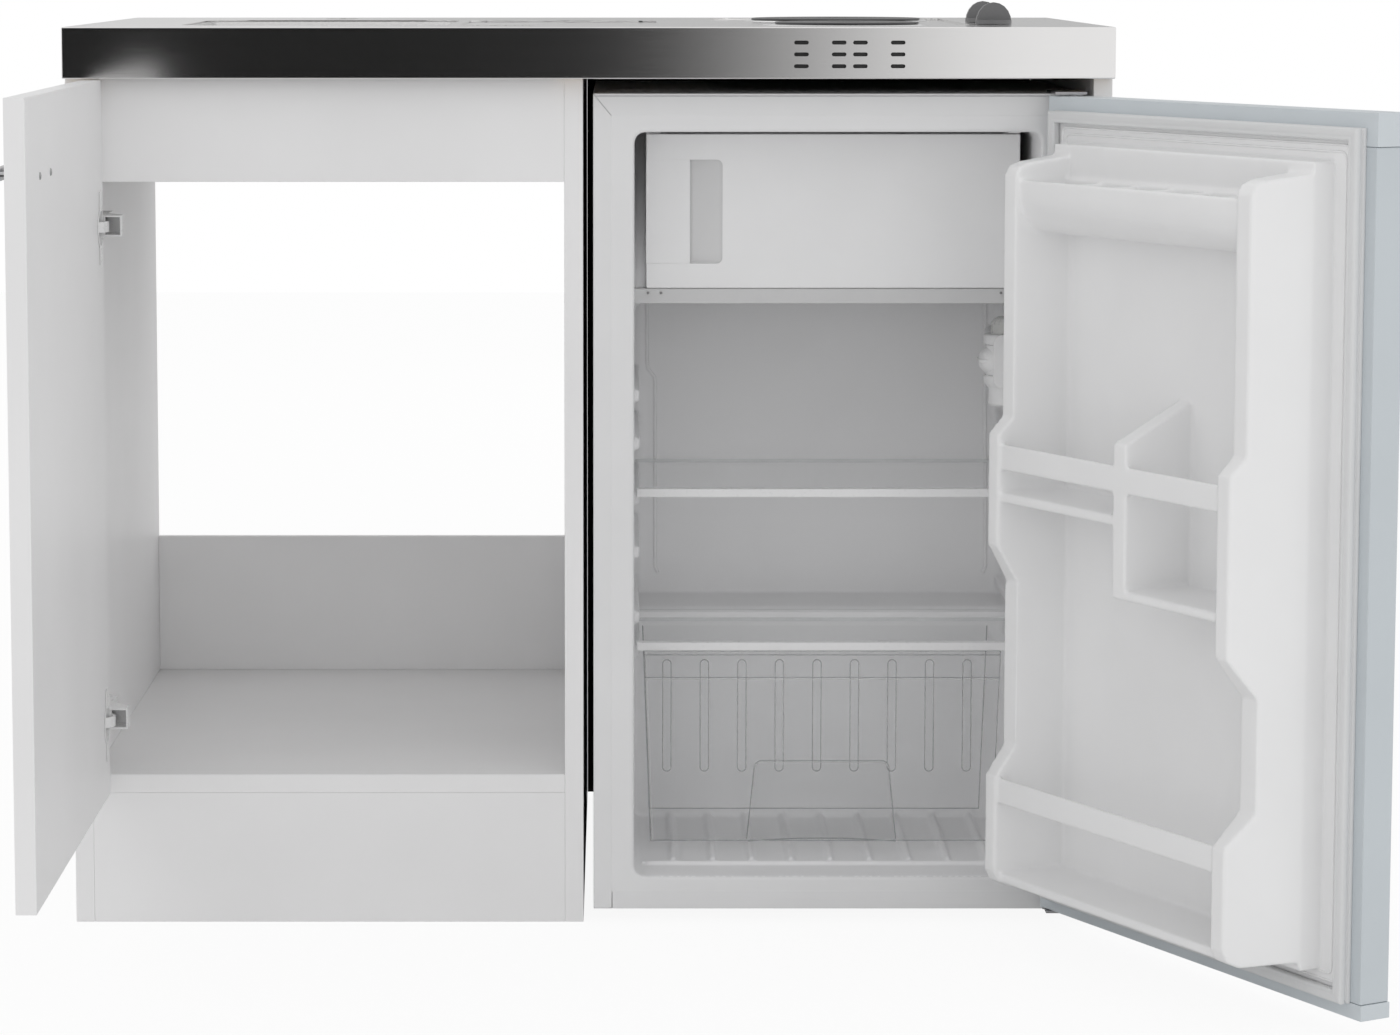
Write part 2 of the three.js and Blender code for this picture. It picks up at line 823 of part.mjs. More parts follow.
// ------------------------------------------------------------- cabinet door, hinges

// Where the door's own pivot lies, closed and open, and the arm pivot that serves both.
const doorInnerOpen = sideInner + board;
const doorEndOpen = carcassFront - openGap;
const pivotClosed = new THREE.Vector2(
  left + doorPivotFromEdge,
  carcassFront - closedGap - doorPivotDepth,
);
const pivotOpen = new THREE.Vector2(
  doorInnerOpen - doorPivotDepth,
  doorEndOpen - doorPivotFromEdge,
);
const pivotRun = pivotOpen.clone().sub(pivotClosed);
const armPivot = pivotClosed
  .clone()
  .add(pivotOpen)
  .multiplyScalar(0.5)
  .add(new THREE.Vector2(-pivotRun.y, pivotRun.x).setLength(armPivotShift));

const doorBottom = plinthHeight + doorBottomRise;
const doorTop = lipBottom - doorTopGap;
const hinges = [
  ["upper", doorTop - upperHingeDrop],
  ["lower", doorBottom + lowerHingeRise],
];

function addHinge(door, name, z) {
  const half = armHeight / 2;
  const plateFace = sideInner + mountPlateThickness;
  const bossTop = plateFace + mountBossHeight;
  const wing = mountPlateWing / 2;
  const middle = carcassFront + mountPlateBack;
  const bossFront = middle - mountPlateWidth / 2 - mountBossFront;
  const bossHalf = half - armPlate - mountBossPlay;
  const mount = join(
    box(
      sideInner,
      plateFace,
      middle - mountPlateWidth / 2,
      middle + mountPlateWidth / 2,
      z - wing,
      z + wing,
    ),
    box(sideInner, bossTop, bossFront, bossFront + mountBossLength, z - bossHalf, z + bossHalf),
  );
  piece(unit, `hinge_plate_${name}`, mount, zinc);

  // The arm is a channel that opens towards the side panel and holds the link's pin.
  const high = sideInner + armWidth;
  const low = bossTop + seatGap + armPlate;
  const front = carcassFront - armFront;
  const back = carcassFront + armLength;
  const slopeEnd = front + armKnuckle + armSlope;
  const channel = (inset) => [
    [armPivot.x, front],
    [high - inset, front],
    [high - inset, front + armKnuckle],
    [low - inset, slopeEnd],
    [low - inset, back],
    [sideInner + armWaist / 3, back],
    [sideInner + armWaist / 3, slopeEnd],
    [armPivot.x - hingeEyeRadius, armPivot.y],
  ];
  const pin = post(armPivot.x, armPivot.y, z - half, z + half, hingePinRadius, 16);
  const between = half - armPlate;
  const clearance = upright(outline(channel(armPlate)), z - between, z + between);
  const aroundPin = box(
    armPivot.x - hingeEyeRadius,
    armPivot.x + hingeEyeRadius,
    armPivot.y - hingeEyeRadius,
    armPivot.y + hingeEyeRadius,
    z - between,
    z + between,
  );
  const arm = join(
    cut(
      join(
        upright(outline(channel(0)), z - half, z + half),
        post(armPivot.x, armPivot.y, z - half, z + half, hingeEyeRadius, 20),
      ),
      clearance,
      aroundPin,
    ),
    pin,
  );
  piece(unit, `hinge_arm_${name}`, arm, zinc);

  // The link runs round the hinge edge of the open door, out of its cup.
  const corner = new THREE.Vector2(doorInnerOpen, doorEndOpen);
  const route = [
    armPivot,
    corner.clone().add(new THREE.Vector2(linkReach - 0.2, 3)),
    corner.clone().add(new THREE.Vector2(linkReach, -1.5)),
    corner.clone().add(new THREE.Vector2(linkReach - 1, -5.2)),
    corner.clone().add(new THREE.Vector2(linkReach - 3.3, -8.3)),
    pivotOpen,
  ];
  const foot = z - linkHeight / 2;
  const head = z + linkHeight / 2;
  const runs = route.slice(1).map((to, i) => {
    const from = route[i];
    const along = to.clone().sub(from);
    const side = new THREE.Vector2(-along.y, along.x).setLength(linkThickness / 2);
    const corners = [
      from.clone().sub(side),
      to.clone().sub(side),
      to.clone().add(side),
      from.clone().add(side),
    ];
    return upright(new THREE.Shape(corners), foot, head);
  });
  const bends = route.slice(1, -1).map((p) => post(p.x, p.y, foot, head, linkThickness / 2, 12));
  const ends = [armPivot, pivotOpen];
  const eyes = ends.map((p) => post(p.x, p.y, foot, head, hingeEyeRadius, 20));
  const bore = hingePinRadius + hingePinPlay;
  const bores = ends.map((p) => post(p.x, p.y, foot - 1, head + 1, bore, 20));
  piece(unit, `hinge_link_${name}`, cut(join(runs, bends, eyes), bores), zinc);

  // The cup is drawn in the door's own frame: X from the hinge edge, Y to the inside.
  const face = seatGap;
  const plateEnd = face + cupFlangeThickness;
  const flangeHalf = cupFlangeWidth / 2;
  const cup = cut(
    join(
      bar(cupFromEdge, z, face - cupDepth, face, cupRadius),
      bar(cupFromEdge, z, face, plateEnd, cupFlangeRadius),
      box(
        cupFromEdge - flangeHalf,
        cupFromEdge + flangeHalf,
        face,
        plateEnd,
        z - cupFlangeLength / 2,
        z + cupFlangeLength / 2,
      ),
    ),
    bar(cupFromEdge, z, face - cupDepth + cupWall, plateEnd + 1, cupRadius - cupWall),
  );
  const chord = Math.sqrt(
    (cupRadius - cupWall / 2) ** 2 - (cupFromEdge - doorPivotFromEdge) ** 2,
  );
  const cupPin = post(
    doorPivotFromEdge,
    -doorPivotDepth,
    z - chord,
    z + chord,
    hingePinRadius,
    16,
  );
  piece(door, `hinge_cup_${name}`, join(cup, cupPin), zinc);
}

function addCabinetDoor() {
  const door = new THREE.Group();
  door.position.set(doorInnerOpen, doorEndOpen, 0);
  door.rotation.z = -Math.PI / 2;
  unit.add(door);

  const bores = hinges.map(([, z]) =>
    bar(cupFromEdge, z, -cupDepth, 1, cupRadius + seatGap),
  );
  const handleZ = doorTop - handleDrop;
  const legs = [doorWidth - handleFromEdge, doorWidth - handleFromEdge - handleSpacing];
  const panel = cut(box(0, doorWidth, -board, 0, doorBottom, doorTop), bores);
  piece(door, "cabinet_door", panel, white);

  const x0 = legs[1] - handleOverhang;
  const x1 = legs[0] + handleOverhang;
  const outer = -board - handleReach;
  const grip = box(
    x0,
    x1,
    outer,
    outer + handleBarThickness,
    handleZ - handleBarHeight / 2,
    handleZ + handleBarHeight / 2,
  );
  const stems = legs.map((x) =>
    bar(x, handleZ, outer + 1, -board - seatGap, handleLegRadius, 20),
  );
  piece(door, "cabinet_handle", join(grip, stems), steel);

  for (const [name, z] of hinges) addHinge(door, name, z);
}

// --------------------------------------------------------------------- refrigerator

// The inside of the refrigerator, or the foam's hollow for it, grown by some thickness.
function cavitySpace(grow, front) {
  const x0 = cavity.left - grow;
  const x1 = cavity.right + grow;
  const whole = backward(
    rounded(x0, x1, cavity.floor - grow, cavity.roof + grow, cavityCorner + grow),
    front,
    cavity.back + grow,
  );
  const step = box(
    x0 - 1,
    x1 + 1,
    cavity.stepFront + grow,
    cavity.back + grow + 1,
    cavity.floor - grow - 1,
    stepTop - grow,
  );
  return cut(whole, step);
}

function flangeArea(grow) {
  return box(
    fridgeLeft + frameWidth - grow,
    fridgeRight - frameWidth + grow,
    fridgeFront - 1,
    fridgeFront + linerThickness + grow,
    fridgeFoot + frameWidth - grow,
    fridgeTop - frameTopWidth + grow,
  );
}

function addFridgeBody() {
  const whole = box(fridgeLeft, fridgeRight, fridgeFront, fridgeBack, fridgeFoot, fridgeTop);
  const recessFront = cavity.stepFront + stepWall;
  const recess = box(
    fridgeLeft + compressorSideWall,
    fridgeRight - compressorSideWall,
    recessFront,
    fridgeBack + 1,
    fridgeFoot - 1,
    stepTop - stepWall,
  );
  const hollow = cavitySpace(linerThickness, fridgeFront - 1);
  piece(unit, "fridge_body", cut(whole, hollow, flangeArea(0), recess), coolerGrey);

  const gap = seatGap;
  const skin = join(
    cavitySpace(linerThickness - gap, fridgeFront),
    flangeArea(-gap).intersect(
      box(fridgeLeft, fridgeRight, fridgeFront, fridgeBack, fridgeFoot, fridgeTop),
    ),
  );
  const rib = (top, x0) =>
    box(
      x0,
      x0 + ribWidth + linerThickness / 2,
      fridgeFront + shelfFront + ribFront,
      (top > stepTop ? cavity.back : cavity.stepFront) + linerThickness / 2,
      top - ribHeight,
      top,
    );
  const underGlass = (shelfTop) => shelfTop - (shelfTrimHeight + shelfGlass) / 2 - gap;
  const ribTops = [
    underGlass(upperShelfTop),
    underGlass(lowerShelfTop),
    ...spareRibDrops.map((drop) => dripTray.foot - drop),
    ...spareRibTops,
  ];
  const ribs = ribTops.flatMap((top) => [
    rib(top, cavity.left - linerThickness / 2),
    rib(top, cavity.right - ribWidth),
  ]);
  const ribSide = outline([
    [fridgeFront + crisperFront / 2, cavity.floor - 1],
    [cavity.stepFront + 1, cavity.floor - 1],
    [cavity.stepFront + 1, cavity.floor + floorRibHeight],
    [fridgeFront + crisperFront / 2 + floorRibRamp, cavity.floor + floorRibHeight],
  ]);
  const floorRibPitch = (cavity.right - cavity.left) / floorRibCount;
  const floorRibs = Array.from({ length: floorRibCount }, (_, i) => {
    const x = cavity.left + (i + 0.5) * floorRibPitch;
    return across(ribSide, x - floorRibWidth / 2, x + floorRibWidth / 2);
  });
  const liner = join(cut(skin, cavitySpace(0, fridgeFront - 1)), ribs, floorRibs);
  piece(unit, "fridge_liner", liner, linerWhite);

  const footX = [fridgeLeft + footInset, fridgeRight - footInset];
  const footY = [
    ["front", fridgeFront + frontFootBack],
    ["rear", recessFront + rearFootFront],
  ];
  for (const [name, y] of footY) {
    for (const [side, x] of [["left", footX[0]], ["right", footX[1]]]) {
      const foot = post(x, y, 0, fridgeFoot, footRadius, 24);
      piece(unit, `fridge_foot_${name}_${side}`, foot, darkPlastic);
    }
  }

  // The compressor stands on a plate between the body's sides, over the rear feet.
  const plateTop = fridgeFoot + compressorBase;
  const middleY = (recessFront + fridgeBack) / 2;
  const x = fridgeLeft + compressorX;
  const shell = solid(
    new THREE.SphereGeometry(1, 20, 14)
      .rotateX(Math.PI / 2)
      .scale(compressorLength / 2, compressorThickness / 2, compressorHeight / 2)
      .translate(x, middleY, plateTop + compressorLift + compressorHeight / 2),
  );
  const standTop = plateTop + compressorLift + compressorHeight * 0.35;
  const stands = [-1, 1].map((k) => {
    const middleX = x + k * compressorLength * 0.3;
    return box(
      middleX - compressorStand / 2,
      middleX + compressorStand / 2,
      middleY - compressorStandDepth / 2,
      middleY + compressorStandDepth / 2,
      plateTop - 1,
      standTop,
    );
  });
  const base = box(
    fridgeLeft + compressorSideWall + gap,
    fridgeRight - compressorSideWall - gap,
    recessFront + gap,
    fridgeBack,
    fridgeFoot,
    plateTop,
  );
  const glandX = x - compressorLength;
  const glandZ = plateTop + glandHeight;
  const uprightBack = fridgeBack - glandPlateBack;
  const uprightFront = uprightBack - glandPlate;
  const gland = bar(glandX, glandZ, uprightFront, fridgeBack + glandLength, glandRadius);
  const glandFoot = box(
    glandX - glandPlateWidth / 2,
    glandX + glandPlateWidth / 2,
    uprightFront,
    uprightBack,
    plateTop - 1,
    glandZ + glandPlateWidth / 2,
  );
  piece(unit, "compressor", join(shell, stands, base, gland, glandFoot), black);
}

function addFreezer() {
  const x0 = cavity.left + freezerLeft;
  const x1 = cavity.right - freezerRight;
  const face = fridgeFront + freezerFront;
  const flapTop = freezer.top;
  const flapFoot = freezer.foot;
  const trayTop = dripTray.top;
  const trayFoot = dripTray.foot;
  const pinX = x1 - flapPinInset;
  const pinY = face + flapThickness / 2;
  const corner = Math.hypot(flapPinInset, flapThickness / 2);
  const boxFront = pinY + corner + 1;
  const boxBack = Math.min(boxFront + freezerDepth, cavity.back - 2);
  const wall = freezerWall;
  const lugTop = cavity.roof - seatGap;
  const lugFoot = flapTop + 1;
  const shell = cut(
    box(x0, x1, boxFront, boxBack, flapFoot, flapTop),
    box(x0 + wall, x1 - wall, boxFront - 1, boxBack - wall, flapFoot + wall, flapTop - wall),
  );
  const hang = freezerHanger;
  const hangers = [x0, x1 - hang].flatMap((x) =>
    [boxFront, boxBack - hang].map((y) => box(x, x + hang, y, y + hang, flapTop - 1, lugTop)),
  );
  const lug = box(pinX - freezerLug, x1, face, boxFront + 1, lugFoot, lugTop);
  const topPin = post(pinX, pinY, flapTop - flapPinLength, lugFoot + 1, flapPinRadius, 16);
  piece(unit, "freezer_box", join(shell, hangers, lug, topPin), linerWhite);

  const bore = flapPinRadius + flapPinPlay;
  const pocketX0 = x0 + flapPocketLeft;
  const pocketX1 = x0 + flapPocketWidth;
  const pocketTop = flapTop - flapPocketDrop;
  const pocketFoot = pocketTop - flapPocketHeight;
  const pocket = box(
    pocketX0,
    pocketX1,
    face - 1,
    face + flapPocketDepth,
    pocketFoot,
    pocketTop,
  );
  const plate = box(
    pocketX0 - 1,
    pocketX0 + flapPlateWidth,
    face + flapPlateDepth,
    face + flapPocketDepth + 1,
    pocketFoot,
    pocketTop,
  );
  const flap = cut(
    join(cut(box(x0, x1, face, face + flapThickness, flapFoot, flapTop), pocket), plate),
    post(pinX, pinY, flapFoot - 1, flapFoot + flapPinLength + 1, bore, 20),
    post(pinX, pinY, flapTop - flapPinLength - 1, flapTop + 1, bore, 20),
  );
  piece(unit, "freezer_flap", flap, linerWhite);

  const edge = dripTrayWall;
  const tx0 = cavity.left + seatGap;
  const tx1 = cavity.right - seatGap;
  const tray = join(
    cut(
      box(tx0, tx1, face, boxBack, trayFoot, trayTop),
      box(
        tx0 + edge,
        tx1 - edge,
        face + dripTrayFront,
        boxBack - edge,
        trayFoot + edge,
        trayTop + 1,
      ),
    ),
    box(pinX - flapPinInset - 1, x1, face, pinY + dripTrayFront, trayFoot, trayTop),
    post(pinX, pinY, trayTop - 1, flapFoot + flapPinLength, flapPinRadius, 16),
  );
  piece(unit, "drip_tray", tray, linerWhite);
}

function addShelf(name, top, back) {
  const x0 = cavity.left + shelfSideGap;
  const x1 = cavity.right - shelfSideGap;
  const front = fridgeFront + shelfFront;
  const foot = top - shelfTrimHeight;
  const glassFoot = top - (shelfTrimHeight + shelfGlass) / 2;
  const glassFront = front + shelfGlassFront;
  const pane = box(x0, x1, glassFront, back, glassFoot, glassFoot + shelfGlass);
  piece(unit, `shelf_glass_${name}`, pane, clear);
  const trim = cut(
    box(x0, x1, front, front + shelfTrimDepth, foot, top),
    box(
      x0 - 1,
      x1 + 1,
      glassFront - seatGap,
      back,
      glassFoot - seatGap,
      glassFoot + shelfGlass + seatGap,
    ),
  );
  piece(unit, `shelf_trim_${name}`, trim, linerWhite);
}

function addCrisper() {
  const x0 = cavity.left + crisperLeft;
  const x1 = cavity.right - crisperRight;
  const front = fridgeFront + crisperFront;
  const back = front + crisperDepth;
  const foot = cavity.floor + floorRibHeight + seatGap;
  const top = lowerShelfTop - shelfTrimHeight - crisperTopGap;
  const wall = crisperWall;
  const lean = (crisperTaper * wall) / (top - foot);
  const body = backward(
    outline([
      [x0 + crisperTaper, foot],
      [x1 - crisperTaper, foot],
      [x1, top],
      [x0, top],
    ]),
    front,
    back,
  );
  const hollow = backward(
    outline([
      [x0 + crisperTaper + wall - lean, foot + wall],
      [x1 - crisperTaper - wall + lean, foot + wall],
      [x1 - wall, top + 1],
      [x0 + wall, top + 1],
    ]),
    front + wall,
    back - wall,
  );
  const middle = (x0 + x1) / 2;
  const pullFoot = foot + pullRise;
  const pullTop = pullFoot + pullHeight;
  const hood = (shrink) => {
    const side = [
      [front + 1, pullFoot - (shrink ? 1 : 0)],
      [front + 1, pullTop - shrink],
      [front, pullTop - shrink],
      [front - pullReach + shrink, pullFoot + (pullHeight - shrink) * 0.55],
      [front - pullReach + shrink, pullFoot - (shrink ? 1 : 0)],
    ];
    const half = pullWidth / 2 + pullSpread - shrink;
    const lengthways = across(outline(side), middle - half, middle + half);
    const flare = backward(
      outline([
        [middle - pullWidth / 2 - pullSpread + shrink, pullFoot - 2],
        [middle + pullWidth / 2 + pullSpread - shrink, pullFoot - 2],
        [middle + pullWidth / 2 - shrink, pullTop + 1],
        [middle - pullWidth / 2 + shrink, pullTop + 1],
      ]),
      front - pullReach - 1,
      front + 2,
    );
    return lengthways.intersect(flare);
  };
  const handHold = cut(hood(0), hood(pullWall).subtract(body));
  piece(unit, "crisper_drawer", join(cut(body, hollow), cut(handHold, hollow)), clear);
}

function addThermostat() {
  const x1 = cavity.right - seatGap;
  const x0 = x1 - thermostatDepth;
  const front = fridgeFront + thermostatFront;
  const top = dripTray.foot - lampGap - lampHeight - seatGap;
  const foot = top - thermostatHeight;
  const y = front + dialRadius + dialFront;
  const z = (foot + top) / 2;
  const disc = (from, to, radius, sides) =>
    solid(
      new THREE.CylinderGeometry(radius, radius, to - from, sides)
        .rotateZ(Math.PI / 2)
        .translate((from + to) / 2, y, z),
    );
  const housing = cut(
    backward(rounded(x0, x1, foot, top, thermostatCorner), front, front + thermostatLength),
    disc(x0 - 1, x0 + dialSpindleLength + 1, dialSpindleRadius + seatGap, 20),
  );
  piece(unit, "thermostat_housing", housing, linerWhite);
  const face = x0 - seatGap;
  const dial = join(
    disc(face - dialThickness, face, dialRadius, round),
    disc(face - 1, x0 + dialSpindleLength, dialSpindleRadius, 16),
    box(
      face - dialThickness - dialRidgeRise,
      face - 1,
      y - dialRidge / 2,
      y + dialRidge / 2,
      z - dialRadius + 1,
      z + dialRadius - 1,
    ),
  );
  piece(unit, "thermostat_dial", dial, linerWhite);

  const seat = top + seatGap;
  const lamp = turned(
    [
      [0, seat],
      [lampRadius - 2, seat],
      [lampRadius - 2, seat + lampSocket],
      [lampRadius, seat + lampShoulder],
      [lampRadius * 0.8, seat + lampHeight - 3],
      [lampRadius * 0.4, seat + lampHeight],
      [0, seat + lampHeight],
    ],
    x0 + lampRadius,
    y,
    20,
  );
  piece(unit, "interior_lamp", lamp, clear);
}

// --------------------------------------------------------------- refrigerator door

const fridgePin = {
  x: nicheRight - fridgeDoorSideGap - fridgePinInset,
  y: fridgeFront - fridgePinFront,
};

// The door in its own frame: X and Y from the hinge pin, Y to the inside.
const coolerDoor = {
  x0: middleRight + fridgeDoorSideGap - fridgePin.x,
  x1: fridgePinInset,
  face: fridgeDoorThickness / 2,
  z0: fridgeDoorBottom,
  z1: lipBottom - fridgeDoorTopGap,
};

function addDoorLiner(door) {
  const doorFace = coolerDoor.face;
  const rackHead = coolerDoor.z1 - rackHeadDrop;
  const eggTrayTop = coolerDoor.z1 - eggTrayDrop;
  const base = doorFace + seatGap;
  const panel = doorFace + doorLinerPanel;
  const inner = gasketInset + gasketWidth + seatGap;
  const x1 = -doorLinerHingeSide;
  const x0 = coolerDoor.x0 + doorLinerFreeSide;
  const flange = box(
    coolerDoor.x0 + inner,
    coolerDoor.x1 - inner,
    base,
    base + doorLinerSheet,
    coolerDoor.z0 + inner,
    coolerDoor.z1 - inner,
  );
  const raised = box(
    x0 - doorLinerFarShoulder,
    x1 + doorLinerShoulder,
    base + doorLinerSheet - 1,
    panel,
    rackFoot - 8,
    rackHead + 12,
  );
  const low = doorFace + rimLow;
  const high = doorFace + rimHigh;
  const rim = (waist, rackBottom) =>
    outline([
      [panel - 1, rackFoot],
      [high - 17, rackFoot],
      [high - 5, rackFoot + 6],
      [high, rackFoot + 16],
      [high, lowRackTop],
      [low - waist, lowRackTop + lowRackBlend],
      [low - waist, rackBottom - midRackBlend],
      [high, rackBottom],
      [high, midRackTop],
      [low, midRackTop + midRackTopBlend],
      [low, rackHead - 15],
      [low - 5, rackHead - 7],
      [low - 16, rackHead - 3],
      [panel - 1, rackHead + 2],
    ]);
  // A side wall narrows from its foot to its rim.
  const wall = (side, out0, rim0, rim1, out1) =>
    across(side, out0, out1).intersect(
      upright(
        outline([
          [out0, panel - 1],
          [out1, panel - 1],
          [rim1, high],
          [rim0, high],
        ]),
        rackFoot - 1,
        rackHead + 3,
      ),
    );
  const hingeRim = x1 - doorLinerWall;
  const freeRim = x0 + doorLinerWall;
  const hingeWall = wall(
    rim(rimWaist, midRackBottom),
    hingeRim - doorLinerDraft,
    hingeRim,
    x1,
    x1 + doorLinerShoulder,
  );
  const freeWall = wall(
    rim(rimFarWaist, midRackFarBottom),
    x0 - doorLinerFarShoulder,
    x0,
    freeRim,
    freeRim + doorLinerDraft,
  );

  // Racks lie between the side walls.
  const a1 = hingeRim + 1;
  const a0 = freeRim - 1;
  const rackFront = high - 2;
  const guard = (top) =>
    box(a0, a1, rackFront - guardThickness, rackFront, top - guardHeight, top);
  const shelf = (from, to, top, front) =>
    box(from, to, panel - 1, front, top - shelfSkin, top);
  const divide = -dividerX;
  const half = dividerThickness / 2;
  const divider = across(
    outline([
      [panel - 1, bottleShelfTop - shelfSkin],
      [rackFront, bottleShelfTop - shelfSkin],
      [rackFront, dividerTop],
      [panel - 1, dividerBackTop],
    ]),
    divide - half,
    divide + half,
  );
  const canShelf = shelf(divide, a1, canShelfTop, rackFront);
  const bottleShelf = shelf(a0, divide, bottleShelfTop, rackFront);
  const lowShelf = shelf(a0, a1, lowShelfTop, high - 6);

  const trayFoot = eggTrayTop - eggTrayHeight;
  const trayFront = doorFace + eggTrayReach;
  const trayBow = new THREE.Shape();
  trayBow.moveTo(panel - 1, eggTrayTop);
  trayBow.lineTo(panel - 1, trayFoot);
  trayBow.lineTo(trayFront - 34, trayFoot);
  trayBow.absellipse(trayFront - 34, eggTrayTop - 10, 34, eggTrayHeight - 10, -Math.PI / 2, 0);
  trayBow.lineTo(trayFront, eggTrayTop);
  const tray = cut(
    across(trayBow, a0, a1),
    box(
      a0 + eggTrayWall,
      a1 - eggTrayWall,
      panel + eggTrayWall,
      trayFront - eggTrayWall,
      eggTrayTop - eggTroughDepth,
      eggTrayTop + 1,
    ),
  );
  const liner = join(
    flange,
    raised,
    hingeWall,
    freeWall,
    guard(midGuardTop),
    guard(lowGuardTop),
    divider,
    canShelf,
    bottleShelf,
    lowShelf,
    tray,
  );
  piece(door, "door_liner", liner, linerWhite);
}

function addFridgeDoor() {
  const door = new THREE.Group();
  door.position.set(fridgePin.x, fridgePin.y, 0);
  door.rotation.z = THREE.MathUtils.degToRad(fridgeDoorAngle);
  unit.add(door);

  const { x0, x1, z0, z1, face: doorFace } = coolerDoor;
  const bore = fridgePinRadius + fridgePinPlay;
  const shellFoot = z0 + bottomCapHeight + seatGap;
  const shellTop = z1 - topCapHeight - seatGap;
  const shell = box(x0, x1, -doorFace, doorFace, shellFoot, shellTop);
  piece(door, "fridge_door", shell, coolerGrey);
  const cap = (foot, top, boreFoot, boreTop) =>
    cut(
      box(x0 - capOverhang, x1, -doorFace - capOverhang, doorFace, foot, top),
      post(0, 0, boreFoot, boreTop, bore, 24),
    );
  const upperCap = cap(z1 - topCapHeight, z1, z1 - fridgePinLength - 1, z1 + 1);
  piece(door, "door_cap_upper", upperCap, coolerGrey);
  const lowerPin = Math.min(fridgePinLength, bottomCapHeight - 2);
  const lowerCap = cap(z0, z0 + bottomCapHeight, z0 - 1, z0 + lowerPin + 1);
  piece(door, "door_cap_lower", lowerCap, coolerGrey);

  const ring = (inset, y0, y1) =>
    box(x0 + inset, x1 - inset, y0, y1, z0 + inset, z1 - inset);
  const gasketFoot = doorFace + seatGap;
  const gasketFace = fridgePinFront - gasketGap;
  const gasket = cut(
    ring(gasketInset, gasketFoot, gasketFace),
    ring(gasketInset + gasketWidth, gasketFoot - 1, gasketFace + 1),
  );
  piece(door, "door_gasket", gasket, rubber);
  addDoorLiner(door);

  // The brackets stay on the body; their pins turn in the door's caps.
  const reach = fridgePin.y - bracketReach;
  const hold = fridgeFront + bracketHold;
  const bx1 = fridgePin.x + bracketSide;
  const bx0 = bx1 - bracketWidth;
  const at = [fridgePin.x, fridgePin.y];
  const upper = join(
    box(bx0, bx1, reach, hold, fridgeTop, fridgeTop + bracketThickness),
    post(...at, z1 - fridgePinLength, fridgeTop + 1, fridgePinRadius, 20),
  );
  piece(unit, "door_bracket_upper", upper, darkPlastic);
  const plateTop = z0 - seatGap;
  const plateFoot = plateTop - bracketThickness;
  const tabFront = fridgeFront - bracketThickness;
  const lower = join(
    box(bx0, bx1, reach, fridgeFront, plateFoot, plateTop),
    box(bx0, bx1, tabFront, fridgeFront, fridgeFoot, fridgeFoot + bracketTab),
    post(...at, plateTop - 1, z0 + lowerPin, fridgePinRadius, 20),
  );
  piece(unit, "door_bracket_lower", lower, darkPlastic);
}

// ------------------------------------------------------------------------- assembly

addCarcass();
addSteelTop();
addBattens();
addSink();
addHob();
addCabinetDoor();
addFridgeBody();
addFreezer();
addShelf("upper", upperShelfTop, cavity.back - upperShelfBack);
addShelf("lower", lowerShelfTop, cavity.stepFront - lowerShelfBack);
addCrisper();
addThermostat();
addFridgeDoor();

// The origin is the middle of the middle panel's foot.
unit.position.set(
  -(middleLeft + middleRight) / 2,
  -(carcassFront + topDepth) / 2,
  0,
);

export default unit;
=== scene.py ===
"""Looks of a kitchenette unit: steel top with sink and hob, sink cabinet and refrigerator.

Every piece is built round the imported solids, in metres, +Z up, with the doors open as at rest.
"""

import json
import math

import bmesh
import bpy
from bpy.props import FloatProperty, FloatVectorProperty, IntProperty, PointerProperty
from mathutils import Matrix, Vector


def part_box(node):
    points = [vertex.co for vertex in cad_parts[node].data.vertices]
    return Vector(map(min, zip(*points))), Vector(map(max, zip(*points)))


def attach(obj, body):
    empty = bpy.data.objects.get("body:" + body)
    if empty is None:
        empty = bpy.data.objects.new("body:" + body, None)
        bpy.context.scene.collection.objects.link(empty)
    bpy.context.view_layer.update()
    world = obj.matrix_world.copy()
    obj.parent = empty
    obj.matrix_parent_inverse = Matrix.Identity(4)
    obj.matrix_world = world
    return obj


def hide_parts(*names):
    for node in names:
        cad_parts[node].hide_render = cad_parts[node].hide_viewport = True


bl_info = {
    "name": "Kitchenette unit",
    "version": (1, 0, 0),
    "blender": (4, 5, 0),
    "location": "View3D > Sidebar > Kitchenette",
    "description": "Dresses a kitchenette unit with sink, hob and refrigerator",
    "category": "Object",
}

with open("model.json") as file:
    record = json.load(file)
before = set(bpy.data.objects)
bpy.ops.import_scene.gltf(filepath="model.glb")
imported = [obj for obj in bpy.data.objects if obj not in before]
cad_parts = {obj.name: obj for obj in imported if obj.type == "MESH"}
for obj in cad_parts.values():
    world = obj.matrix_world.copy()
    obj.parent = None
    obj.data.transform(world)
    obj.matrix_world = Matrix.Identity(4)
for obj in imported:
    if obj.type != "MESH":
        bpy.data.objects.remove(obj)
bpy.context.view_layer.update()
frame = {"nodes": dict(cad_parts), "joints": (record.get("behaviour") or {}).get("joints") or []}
NODES = frame["nodes"]
JOINTS = {joint["name"]: joint for joint in frame["joints"]}

